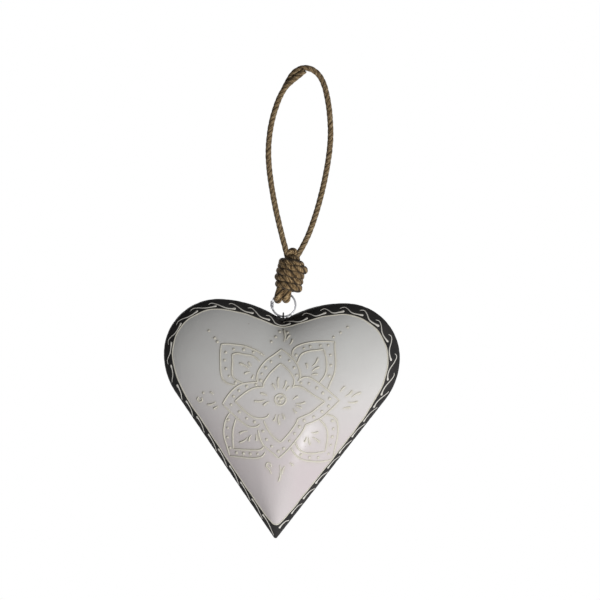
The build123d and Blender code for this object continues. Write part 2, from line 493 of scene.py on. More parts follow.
@dataclass(frozen=True)
class JuteYarn(Finish):
    """Brown jute: streaks of fibre along the yarn from dark to straw, with painted shade in the grooves
    between the strands.

    Its texture place follows the yarn, in millimetres.
    """

    name: str = "jute_yarn"
    roughness: float = 0.86
    specular: float = 0.2
    bump_depth: float = 0.00028
    bump_strength: float = 0.8
    sheen: float = 0.12
    sheen_roughness: float = 0.5
    dark: Colour = (0.075, 0.046, 0.021, 1)
    brown: Colour = (0.240, 0.162, 0.083, 1)
    straw: Colour = (0.560, 0.435, 0.265, 1)
    middle: float = 0.51
    spread: float = 0.13
    fibre: Grain = Grain(1, 4, roughness=0.6, stretch=(0.55, 6.5, 1))
    fibre_share: float = 0.50
    fibre_dull: float = 0.1
    tufts: Grain = Grain(1, 2, stretch=(0.6, 1.1, 1))
    tuft_share: float = 0.52
    drift: Grain = Grain(55, 2, (0.35, 0.65))
    drift_share: float = 0.25
    groove_shade: Colour = (0.030, 0.018, 0.008, 1)
    groove_shade_share: float = 0.95
    crest_span: Span = (0.10, 0.92)

    def sockets(self, recipe: Recipe) -> Sockets:
        """Work out the fibre.

        Args:
            recipe: the material's nodes.

        Returns:
            The shader's sockets.
        """
        place = recipe.node("ShaderNodeUVMap", {"uv_map": "yarn"}, {})
        fibre = recipe.grain(place, self.fibre)
        tufts = recipe.grain(place, self.tufts)
        low, high = self.middle - self.spread, self.middle + self.spread
        stops = ((low, self.dark), (self.middle, self.brown), (high, self.straw))
        pale = fibre * self.fibre_share + tufts * self.tuft_share
        colour = recipe.node("ShaderNodeValToRGB", {"stops": stops}, {0: pale})
        drift = recipe.grain(recipe.object_place(), self.drift)
        colour = recipe.mix(drift * self.drift_share, colour, self.brown)
        # Painted shade: the colour darkens towards the groove colour where the share of painted light is
        # low, between strands and inside the knot.
        crest = recipe.step(recipe.attribute("tone"), self.crest_span)
        colour = recipe.mix((1 - crest) * self.groove_shade_share, colour, self.groove_shade)
        coat = self.coat(recipe, colour, fibre * self.fibre_dull, fibre)
        return {**coat, "Sheen Weight": self.sheen, "Sheen Roughness": self.sheen_roughness}


@dataclass(frozen=True)
class StudioFloor(Finish):
    """Plain pale floor that keeps the shadow."""

    name: str = "pale_floor"
    roughness: float = 0.8
    colour: Colour = (0.86, 0.86, 0.86, 1)
    worn: Grain = Grain(4, 2)
    worn_colour: Colour = (0.80, 0.80, 0.80, 1)
    worn_share: float = 0.06

    def sockets(self, recipe: Recipe) -> Sockets:
        """Work out the floor's paint.

        Args:
            recipe: the material's nodes.

        Returns:
            The shader's sockets.
        """
        worn = recipe.grain(recipe.object_place(), self.worn)
        colour = recipe.mix(worn * self.worn_share, self.colour, self.worn_colour)
        return {"Base Color": colour, "Roughness": self.roughness}


# Meshes


@dataclass
class Patch:
    """Points in millimetres with a share of painted light each, and the faces between them.

    Each corner of a quad has a texture place.
    """

    points: Array
    painted_lights: Array
    quads: Array
    caps: list[list[int]]
    places: Array

    @staticmethod
    def joined(patches: Sequence["Patch"]) -> "Patch":
        """Join several patches into one.

        Args:
            patches: the patches.

        Returns:
            One patch of all their points and faces.
        """
        offsets = np.cumsum([0] + [len(patch.points) for patch in patches])[:-1]
        caps = [[i + int(o) for i in cap] for patch, o in zip(patches, offsets) for cap in patch.caps]
        return Patch(
            np.concatenate([patch.points for patch in patches]),
            np.concatenate([patch.painted_lights for patch in patches]),
            np.concatenate([patch.quads + o for patch, o in zip(patches, offsets)]),
            caps,
            np.concatenate([patch.places for patch in patches]),
        )


def grid_patch(
    points: Array,
    wrap: bool,
    loop: bool = False,
    painted_lights: Optional[Array] = None,
    places: Optional[Array] = None,
) -> Patch:
    """Faces between neighbours of one or more grids.

    Args:
        points: grids x rows x columns x 3, in millimetres.
        wrap: whether the last column meets the first.
        loop: whether the last row meets the first; otherwise a wrapped grid is closed at both ends.
        painted_lights: a share of painted light from 0 to 1 for each point.
        places: grids x rows x columns x 2 texture places, with one more column where the grid wraps.

    Returns:
        The patch.
    """
    count, rows, columns = points.shape[:3]
    index = np.arange(count * rows * columns).reshape(count, rows, columns)
    wide = np.concatenate([index, index[:, :, :1]], axis=2) if wrap else index
    tall = np.concatenate([wide, wide[:, :1]], axis=1) if loop else wide
    corners = (tall[:, :-1, :-1], tall[:, :-1, 1:], tall[:, 1:, 1:], tall[:, 1:, :-1])
    quads = np.stack(corners, axis=-1).reshape(-1, 4)
    flat = np.zeros((*tall.shape, 2)) if places is None else places
    around = (flat[:, :-1, :-1], flat[:, :-1, 1:], flat[:, 1:, 1:], flat[:, 1:, :-1])
    caps = index[:, 0, ::-1].tolist() + index[:, -1].tolist() if wrap and not loop else []
    shade = np.broadcast_to(1.0 if painted_lights is None else painted_lights, points.shape[:3])
    corner_places = np.stack(around, axis=-2).reshape(-1, 2)
    return Patch(points.reshape(-1, 3), shade.ravel(), quads, caps, corner_places)


def unit(vectors: Array) -> Array:
    """Vectors at length 1."""
    return vectors / np.maximum(np.linalg.norm(vectors, axis=-1, keepdims=True), TINY)


def add_piece(
    name: str,
    patch: Patch,
    material: bpy.types.Material,
    body: Body,
    replaced: Sequence[str] = (),
) -> bpy.types.Object:
    """Put a patch into the scene as a piece that rides on a body.

    Args:
        name: the piece's name.
        patch: its mesh, closed, in millimetres.
        material: its finish.
        body: the body that carries it.
        replaced: nodes of the part that it stands for.

    Returns:
        The piece.
    """
    mesh = bpy.data.meshes.new(name)
    mesh.from_pydata(patch.points * MM, [], patch.quads.tolist() + patch.caps)
    corners = np.zeros((len(mesh.loops), 2), np.float32)
    corners[: len(patch.places)] = patch.places
    mesh.uv_layers.new(name="yarn").data.foreach_set("uv", corners.ravel())
    mesh.attributes.new("tone", "FLOAT", "POINT").data.foreach_set("value", patch.painted_lights.astype(np.float32))
    mesh.polygons.foreach_set("use_smooth", np.ones(len(mesh.polygons), bool))
    mesh.materials.append(material)
    welded = bmesh.new()
    welded.from_mesh(mesh)
    bmesh.ops.remove_doubles(welded, verts=welded.verts, dist=WELD)
    bmesh.ops.recalc_face_normals(welded, faces=welded.faces)
    welded.to_mesh(mesh)
    welded.free()
    mesh.update()
    piece = bpy.data.objects.new(name, mesh)
    bpy.context.scene.collection.objects.link(piece)
    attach(piece, body.value)
    if replaced:
        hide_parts(*replaced)
    log.info("%s: %d faces on %s", name, len(mesh.polygons), body.value)
    return piece


def tube_patch(path: Array, radius: float, reference: Array, sides: int) -> Patch:
    """Round tube: a circle of one radius, square to the path, carried along it.

    Args:
        path: stations x 3.
        radius: the circle's radius.
        reference: a direction that the path never takes, or one for each station.
        sides: points round the circle.

    Returns:
        The tube.
    """
    tangent = unit(np.gradient(path, axis=0))
    across = unit(np.cross(tangent, reference))
    outward = np.cross(across, tangent)
    angle = np.linspace(0, TURN, sides, endpoint=False)[None, :, None]
    ring = path[:, None] + radius * (across[:, None] * np.cos(angle) + outward[:, None] * np.sin(angle))
    return grid_patch(ring[None], wrap=True)


def evenly(path: Array, step: float) -> tuple[Array, Array]:
    """Set stations about a step apart along a path.

    Args:
        path: points of the path, in any number of dimensions.
        step: the distance between stations.

    Returns:
        The stations and the length of the path at each.
    """
    run = np.concatenate([[0], np.cumsum(np.linalg.norm(np.diff(path, axis=0), axis=1))])
    at = np.linspace(0, run[-1], max(2, math.ceil(run[-1] / step) + 1))
    return np.stack([np.interp(at, run, column) for column in path.T], axis=1), at


def smooth_curve(points: Sequence[Sequence[float]], stations: int) -> Array:
    """Curve through given points: on each span, a cubic whose end slopes follow the neighbours.

    Args:
        points: the points, in any number of dimensions.
        stations: how many points to return, evenly spread over the spans.

    Returns:
        Points of the curve.
    """
    given = np.array(points, float)
    padded = np.concatenate([2 * given[:1] - given[1:2], given, 2 * given[-1:] - given[-2:-1]])
    at = np.linspace(0, len(given) - 1, stations)
    span = np.minimum(at.astype(int), len(given) - 2)
    t = (at - span)[:, None]
    before, start, end, after = (padded[span + k] for k in range(4))
    bend = 2 * before - 5 * start + 4 * end - after
    twist = 3 * start - before - 3 * end + after
    return start + 0.5 * t * (end - before + t * (bend + t * twist))


def ripple(at: Array, lengths: Sequence[float], rng: np.random.Generator) -> Array:
    """Sum of sines of these wave lengths at seeded phases, from about -1 to 1."""
    phase = rng.uniform(0, TURN, len(lengths))
    return sum(np.sin(TURN * at / n + p) for n, p in zip(lengths, phase)) / len(lengths)


def smooth_step(share: Array) -> Array:
    """Cubic from 0 to 1 that starts and ends level."""
    return share**2 * (3 - 2 * share)


def uneven(share: Array, amount: float, counts: Pair, phase: float = 1.0) -> Array:
    """1 and an amount times the product of two sines, with these counts of waves in the whole length."""
    return 1 + amount * np.sin(TURN * counts[0] * share) * np.sin(TURN * counts[1] * share + phase)


# Camera and light


@dataclass
class PhotoCamera:
    """Long lens square to the heart's front, rolled a little, as the heart leans in the photograph."""

    distance: float = 2000.0
    frame_width: float = 381.4
    centre_x: float = 10.3
    centre_z: float = -136.6
    roll: float = 2.0
    clip_end: float = 20.0

    def build(self) -> None:
        """Make the camera and give it to the scene."""
        data = bpy.data.cameras.new("photo_camera")
        data.lens = data.sensor_width * self.distance / self.frame_width
        data.clip_end = self.clip_end
        camera = bpy.data.objects.new("photo_camera", data)
        roll = math.radians(self.roll)
        right = (math.cos(roll), 0, math.sin(roll))
        up = (-math.sin(roll), 0, math.cos(roll))
        turn = Matrix((right, up, (0, -1, 0))).transposed().to_4x4()
        place = Matrix.Translation((self.centre_x * MM, -self.distance * MM, self.centre_z * MM))
        camera.matrix_world = place @ turn
        bpy.context.scene.collection.objects.link(camera)
        bpy.context.scene.camera = camera


@dataclass(frozen=True)
class SoftLamp:
    """Square soft box aimed at a point of the heart, with places and size in metres."""

    name: str
    place: Place
    size: float
    watts: float
    aim: Place = (0.0, 0.0, -0.21)

    def build(self) -> None:
        """Make the lamp."""
        data = bpy.data.lights.new(self.name, "AREA")
        data.size = self.size
        data.energy = self.watts
        lamp = bpy.data.objects.new(self.name, data)
        back = unit(np.array(self.place) - np.array(self.aim))
        right = unit(np.cross(AXIS_Z, back))
        turn = Matrix((right, np.cross(back, right), back)).transposed().to_4x4()
        lamp.matrix_world = Matrix.Translation(self.place) @ turn
        lamp.visible_camera = False
        bpy.context.scene.collection.objects.link(lamp)


@dataclass
class Studio:
    """White surroundings, a pale floor far below, a lamp at the lower right and one behind."""

    floor_z: float = -1200.0
    floor_half: float = 900.0
    floor_lines: int = 9
    sky: Colour = (1.0, 1.0, 1.0, 1.0)
    fill_light: float = 0.08
    lamps: tuple[SoftLamp, ...] = (
        SoftLamp("key_lamp", (0.80, -1.20, -0.84), 0.28, 20.8),
        SoftLamp("back_lamp", (-0.60, 1.30, 0.25), 0.80, 18.0),
    )

    def world(self) -> None:
        """Make the world: white to the camera and to reflections, and a plain fill light otherwise."""
        world = bpy.data.worlds.new("white_studio")
        world.use_nodes = True
        recipe = Recipe(world.node_tree)
        kinds = ("Camera", "Glossy", "Transmission")
        rays = [recipe.node("ShaderNodeLightPath", {}, {}, f"Is {kind} Ray") for kind in kinds]
        seen = rays[0].maths("MAXIMUM", rays[0], rays[1].maths("MAXIMUM", rays[1], rays[2]))
        strength = self.fill_light + seen * (1 - self.fill_light)
        sky = recipe.node("ShaderNodeBackground", {}, {"Color": self.sky, "Strength": strength})
        recipe.node("ShaderNodeOutputWorld", {}, {"Surface": sky})
        bpy.context.scene.world = world

    def floor(self) -> None:
        """Make the floor: a square grid."""
        side = np.linspace(-self.floor_half, self.floor_half, self.floor_lines)
        x, y = np.meshgrid(side, side)
        flat = grid_patch(np.stack([x, y, np.full_like(x, self.floor_z)], axis=-1)[None], wrap=False)
        mesh = bpy.data.meshes.new("floor")
        mesh.from_pydata(flat.points * MM, [], flat.quads.tolist())
        mesh.materials.append(StudioFloor().material())
        floor = bpy.data.objects.new("floor", mesh)
        bpy.context.scene.collection.objects.link(floor)

    def build(self) -> None:
        """Make the world, the floor and the lamps."""
        bpy.context.scene.view_settings.view_transform = "Standard"
        self.world()
        self.floor()
        for lamp in self.lamps:
            lamp.build()


# Rope


@dataclass
class JuteRope:
    """Rope of three flattened strands, each of a few yarns, laid round a path."""

    diameter: float = 3.8
    lay: float = 11.2
    strands: int = 3
    strand_height: float = 0.46
    strand_width: float = 0.68
    yarns: int = 6
    yarn_turn: float = 5.2
    yarn_depth: float = 0.10
    fibre_slant: float = -0.55
    strand_shift: float = 37.0
    crevice_span: tuple[float, float] = (0.50, 0.88)
    crevice_light: float = 0.12
    turn_drift: float = 0.16
    turn_waves: tuple[float, ...] = (23, 41)
    size_drift: float = 0.04
    shift_waves: tuple[float, ...] = (9, 17, 31)
    size_waves: tuple[float, ...] = (5, 11, 27)
    step: float = 0.34
    sides: int = 24

    def patch(self, path: Array, reference: Array, seed: int, axis: Optional[Array] = None) -> Patch:
        """Strands round a path.

        A strand's line is the path plus an offset that turns once in a lay. Its section is an ellipse, low
        towards the path and wide round it, which swells over each yarn as the absolute cosine of the angle
        round it. That pattern turns the other way along the strand, and the size drifts along the length.

        Args:
            path: the rope's own line, stations x 3.
            reference: a direction that the line never takes.
            seed: seed of the drift.
            axis: a point on the upright axis that the rope winds round, if it does.

        Returns:
            The strands, with painted shade where they meet, and the length along and the way round as
            texture place.
        """
        rng = np.random.default_rng(SEED + seed)
        line, at = evenly(path, self.step)
        tangent = unit(np.gradient(line, axis=0))
        across = unit(np.cross(tangent, reference))
        outward = np.cross(across, tangent)
        reach = self.diameter / 2
        angle = np.linspace(0, TURN, self.sides, endpoint=False)[None]
        made = []
        for number in range(self.strands):
            drift = self.turn_drift * ripple(at, self.turn_waves, rng)
            turn = TURN * (number / self.strands - at / self.lay) + drift
            radial = np.cos(turn)[:, None] * across + np.sin(turn)[:, None] * outward
            sway = 1 + self.size_drift * ripple(at, self.shift_waves, rng)
            centre = line + (reach * (1 - self.strand_height) * sway)[:, None] * radial
            side = unit(np.cross(unit(np.gradient(centre, axis=0)), radial))
            ridge = np.abs(np.cos(self.yarns / 2 * (angle + TURN * at[:, None] / self.yarn_turn)))
            size = 1 + self.size_drift * ripple(at, self.size_waves, rng)[:, None]
            swell = reach * size * (1 - self.yarn_depth * (1 - ridge))
            wide = self.strand_width * swell * np.cos(angle)
            high = self.strand_height * swell * np.sin(angle)
            ring = centre[:, None] + wide[..., None] * side[:, None] + high[..., None] * radial[:, None]
            # Painted light: full on each strand's crest, none where strands meet, and lower beside the
            # knot's next turn.
            painted_lights = np.broadcast_to(np.maximum(np.sin(angle), 0), ring.shape[:2])
            if axis is not None:
                painted_lights = painted_lights * self.crevices(ring, line, axis)
            places = self.places(at, number)
            made.append(grid_patch(ring[None], wrap=True, painted_lights=painted_lights[None], places=places))
        return Patch.joined(made)

    def crevices(self, ring: Array, line: Array, axis: Array) -> Array:
        """Share of light on each point of a strand, which is low beside the next turn.

        It rises with how far the point stands out from the rope's line, away from an axis.

        Args:
            ring: stations x sides x 3, points of the strand.
            line: the rope's own line, stations x 3.
            axis: a point on the upright axis.

        Returns:
            A number for each point.
        """
        away = unit((line - axis) * (AXIS_X + AXIS_Y))
        lift = ((ring - line[:, None]) * away[:, None]).sum(-1) / (self.diameter / 2)
        low, high = self.crevice_span
        return np.clip((lift - low) / (high - low), self.crevice_light, 1)

    def places(self, at: Array, number: int) -> Array:
        """Texture places of one strand: the length along it, and the way round it, slanted along the fibre.

        Args:
            at: the length at each station.
            number: the strand's number.

        Returns:
            One grid of stations x (sides + 1) x 2.
        """
        around = np.linspace(0, TURN * self.strand_width * self.diameter / 2, self.sides + 1)[None]
        slanted = around - self.fibre_slant * at[:, None] + self.strand_shift * number
        return np.stack([np.broadcast_to(at[:, None], slanted.shape), slanted], axis=-1)[None]


def smooth_route(points: Sequence[Place]) -> Array:
    """Points along a NURBS spline whose control points are a route's own.

    Args:
        points: the route, in millimetres.

    Returns:
        Points along the spline, in millimetres.
    """
    curve = bpy.data.curves.new("route", "CURVE")
    curve.dimensions = "3D"
    curve.resolution_u = ROUTE_RESOLUTION
    spline = curve.splines.new("NURBS")
    spline.points.add(len(points) - 1)
    control = np.hstack([np.array(points, float) * MM, np.ones((len(points), 1))])
    spline.points.foreach_set("co", control.ravel())
    spline.order_u = ROUTE_ORDER
    spline.use_endpoint_u = True
    holder = bpy.data.objects.new("route", curve)
    mesh = bpy.data.meshes.new_from_object(holder)
    line = np.zeros(len(mesh.vertices) * 3)
    mesh.vertices.foreach_get("co", line)
    bpy.data.meshes.remove(mesh)
    bpy.data.curves.remove(curve)
    return line.reshape(-1, 3) / MM


@dataclass
class RopeLoop:
    """The two legs of the rope, from the knot up to their lap at the top."""

    rope: JuteRope
    left_leg: tuple[Place, ...] = (
        (1.9, 0.0, -111.5), (0.2, 0.0, -105.0), (-3.3, 0.0, -94.0), (-8.7, -0.2, -73.6),
        (-12.9, -0.6, -51.0), (-13.2, -1.2, -34.5), (-10.6, -1.7, -17.8), (-4.9, -1.6, -2.5),
        (1.9, -0.9, 3.8), (8.0, -0.7, 9.0),
    )
    right_leg: tuple[Place, ...] = (
        (6.2, 0.0, -111.3), (9.7, 0.0, -105.0), (15.1, 0.0, -93.4), (21.0, 0.0, -72.6), (25.0, 0.2, -50.0),
        (26.4, 0.4, -33.0), (25.2, 0.7, -18.0), (23.2, 1.0, -7.0), (20.8, 1.2, 1.4), (17.3, 1.5, 7.3),
        (12.6, 0.8, 10.6), (6.9, 0.3, 11.3), (1.3, 0.2, 8.1), (-2.2, 1.2, 2.5), (-4.6, 2.2, -3.0),
    )
    left_length: float = 128.8
    right_length: float = 154.0

    def build(self, material: bpy.types.Material, knot: Sequence[bpy.types.Object]) -> None:
        """Args:
            material: the rope's finish.
            knot: the knot's pieces, at the lower end of both legs; not used.
        """
        legs = (
            ("rope_left_strands", "rope_left_leg", self.left_leg, self.left_length, list(knot)),
            ("rope_right_strands", "rope_right_leg", self.right_leg, self.right_length, []),
        )
        for seed, (name, node, points, length, pieces) in enumerate(legs):
            line, _ = evenly(smooth_route(points), self.rope.step)
            strands = self.rope.patch(line, AXIS_Y, seed)
            leg = add_piece(name, strands, material, Body.ROPE, [node])
            length * MM


@dataclass
class RopeKnot:
    """The knot's uneven turns, the web between the legs and the bight in the ring."""

    rope: JuteRope
    web_rope: JuteRope
    ring: "WireRing"
    sides: Route = (
        (3.0, -128.9), (8.9, -129.2), (-3.2, -126.6), (9.3, -125.0), (-3.7, -122.4), (10.0, -121.4),
        (-2.8, -118.4), (12.0, -117.6), (-2.0, -115.4), (9.6, -114.4), (-1.6, -112.9), (3.5, -112.0),
    )
    depths: tuple[float, ...] = (3.0, 6.4, 6.0, 5.8, 6.4, 6.8, 6.2, 6.0, 5.6, 5.2, 3.0)
    pass_stations: int = 60
    lean: float = 7.0
    turn_seed: int = 11
    web: tuple[Place, ...] = (
        (1.8, 0.5, -112.0), (2.3, 0.6, -105.4), (7.0, 0.6, -105.9), (7.4, 0.5, -112.0),
    )
    web_seed: int = 13
    core_low: Place = (2.2, 0.0, -131.0)
    core_high: Place = (4.5, 0.0, -107.6)
    core_width: float = 5.6
    core_depth: float = 4.6
    core_power: int = 6
    # Share of painted light on the knot's inside, which is painted shade.
    core_painted_light: float = 0.5
    core_rows: int = 24
    core_sides: int = 40
    bight_clearance: float = 0.48
    bight_drop: float = 3.6
    bight_wrap: float = 36.0
    bight_stem: float = 4.6
    bight_places: Route = ((-2.9, 0.25), (1.9, 0.12))
    bight_stations: int = 90
    bight_seed: int = 21

    def turns(self) -> Patch:
        """Turns from side to side: a cosine step across each pass, half a sine to the front or the back.

        Returns:
            The turns and the web between the legs.
        """
        corners = np.array(self.sides)
        passes = len(self.depths)
        at = np.linspace(0, passes, self.pass_stations * passes, endpoint=False)
        span = at.astype(int)
        part = (at - span)[:, None]
        step = (1 - np.cos(math.pi * part)) / 2
        flat = corners[span] * (1 - step) + corners[span + 1] * step
        way = np.where(span % 2 == 1, -1.0, 1.0) * np.array(self.depths)[span]
        path = np.stack([flat[:, 0], way * np.sin(math.pi * part[:, 0]), flat[:, 1]], axis=-1)
        lean = math.radians(self.lean)
        axis = np.array((math.sin(lean), 0, math.cos(lean)))
        web = self.web_rope.patch(smooth_route(self.web), AXIS_Y, self.web_seed)
        middle = (np.array(self.core_low) + np.array(self.core_high)) / 2
        return Patch.joined([self.rope.patch(path, axis, self.turn_seed, middle), web])

    def bight(self) -> Patch:
        """Two strands round the top of the ring: most of an oval in depth and height, with leaning ends.

        Returns:
            Both strands, each splayed sideways by a share of its height.
        """
        deep = self.ring.pair_reach + self.bight_clearance + self.rope.diameter / 2
        wrap = math.radians(self.bight_wrap)
        angle = np.linspace(-math.pi - wrap, wrap, self.bight_stations)
        rise = np.where(np.sin(angle) < 0, self.bight_drop, deep) * np.sin(angle)
        bend = np.stack([deep * np.cos(angle), rise], axis=-1)
        stem = np.array((-math.sin(wrap), math.cos(wrap))) * self.bight_stem
        section = np.concatenate([[bend[0] + stem * (-1, 1)], bend, [bend[-1] + stem]])
        made = []
        for number, (x, splay) in enumerate(self.bight_places):
            wire_z = self.ring.centre_z + math.sqrt(self.ring.radius**2 - x**2)
            path = np.stack([x + splay * section[:, 1], section[:, 0], wire_z + section[:, 1]], axis=-1)
            made.append(self.rope.patch(path, AXIS_X, self.bight_seed + number))
        return Patch.joined(made)

    def core(self) -> Patch:
        """Inside of the knot, darkened as painted shade: an oval barrel along a leaning line, closed to a
        point at each end.

        Returns:
            The barrel.
        """
        share = np.linspace(0, 1, self.core_rows)[:, None]
        shrink = np.sqrt(np.maximum(1 - (2 * share - 1) ** self.core_power, 0))
        angle = np.linspace(0, TURN, self.core_sides, endpoint=False)[None]
        low, high = np.array(self.core_low), np.array(self.core_high)
        middle = low + (high - low) * share[..., None]
        x = self.core_width * shrink * np.cos(angle)
        y = self.core_depth * shrink * np.sin(angle)
        barrel = middle + x[..., None] * AXIS_X + y[..., None] * AXIS_Y
        around = np.linspace(0, TURN * self.core_width, angle.size + 1)[None]
        places = np.stack(np.broadcast_arrays(share * (high - low)[2], around), axis=-1)
        return grid_patch(barrel[None], wrap=True, painted_lights=np.array(self.core_painted_light), places=places[None])

    def build(self, material: bpy.types.Material) -> list[bpy.types.Object]:
        """Make the knot's pieces.

        Args:
            material: the rope's finish.

        Returns:
            The pieces.
        """
        return [
            add_piece("knot_turns", self.turns(), material, Body.ROPE, ["knot_wraps"]),
            add_piece("knot_heart", self.core(), material, Body.ROPE, ["knot_core"]),
            add_piece("ring_bight_strands", self.bight(), material, Body.ROPE, ["ring_bight"]),
        ]


# Wire ring and eye


@dataclass
class WireRing:
    """Ring of two turns of wire, stepped at its join and bound there with thinner wire."""

    centre_z: float
    radius: float = 7.5
    wire: float = 1.2
    turn_gap: float = 0.35
    join_angle: float = 182.0
    join_half: float = 32.0
    binding_wire: float = 0.55
    binding_gap: float = 0.12
    binding_seat: float = 0.02
    binding_turns: int = 5
    binding_stations: int = 40
    binding_sides: int = 12
    stations: int = 320
    sides: int = 16

    @property
    def turn_y(self) -> float:
        """Distance of each turn from the ring's middle plane."""
        return (self.wire + self.turn_gap) / 2

    @property
    def pair_reach(self) -> float:
        """Half the depth of both turns together."""
        return self.turn_y + self.wire / 2

    def line(self, degrees: Array) -> Array:
        """Points on the ring's line: a circle, with one smooth step from one turn to the other at the join.

        Args:
            degrees: angles along the wire, from +X towards +Z.

        Returns:
            A point for each angle.
        """
        start = self.join_angle + DEGREES - self.join_half
        smooth = smooth_step(np.clip((degrees - start) / (2 * self.join_half), 0, 1))
        angle = np.radians(degrees)
        x = self.radius * np.cos(angle)
        z = self.centre_z + self.radius * np.sin(angle)
        return np.stack([x, self.turn_y * (2 * smooth - 1), z], axis=-1)

    def binding(self) -> Patch:
        """Thin wire round the join: a coil square to the ring's line, carried along it.

        Returns:
            The coil.
        """
        coil_radius = self.wire / 2 + self.binding_seat + self.binding_wire / 2
        pitch = math.degrees((self.binding_wire + self.binding_gap) / (self.radius - coil_radius))
        turn = np.linspace(0, self.binding_turns, self.binding_stations * self.binding_turns)
        start = self.join_angle + DEGREES - pitch * self.binding_turns / 2
        core = self.line(start + pitch * turn)
        outward = unit(core - np.stack([0 * turn, core[:, 1], 0 * turn + self.centre_z], axis=-1))
        angle = (TURN * turn)[:, None]
        coil = core + coil_radius * (outward * np.cos(angle) + AXIS_Y * np.sin(angle))
        along = unit(np.gradient(core, axis=0))
        return tube_patch(coil, self.binding_wire / 2, along, self.binding_sides)

    def build(self, material: bpy.types.Material) -> None:
        """Make the ring and its binding.

        Args:
            material: the wire's finish.
        """
        first = self.join_angle + self.join_half
        degrees = np.linspace(first, first + 2 * (DEGREES - self.join_half), self.stations)
        ring = tube_patch(self.line(degrees), self.wire / 2, AXIS_Y, self.sides)
        add_piece("ring_wire", ring, material, Body.RING, ["hanging_ring"])
        add_piece("ring_binding_wire", self.binding(), material, Body.RING, ["ring_binding"])


# Heart


def arc(
    x: Number, z: Number, radius: Number, start: Number, end: Number, share: Array
) -> tuple[Array, Array]:
    """Points on an arc of a circle.

    Args:
        x: X of the circle's centre.
        z: Z of the circle's centre.
        radius: the circle's radius.
        start: angle at share 0, in radians from +X towards +Z.
        end: angle at share 1.
        share: places along the arc, from 0 to 1.

    Returns:
        X and Z of each place.
    """
    angle = start + (end - start) * share
    return x + radius * np.cos(angle), z + radius * np.sin(angle)


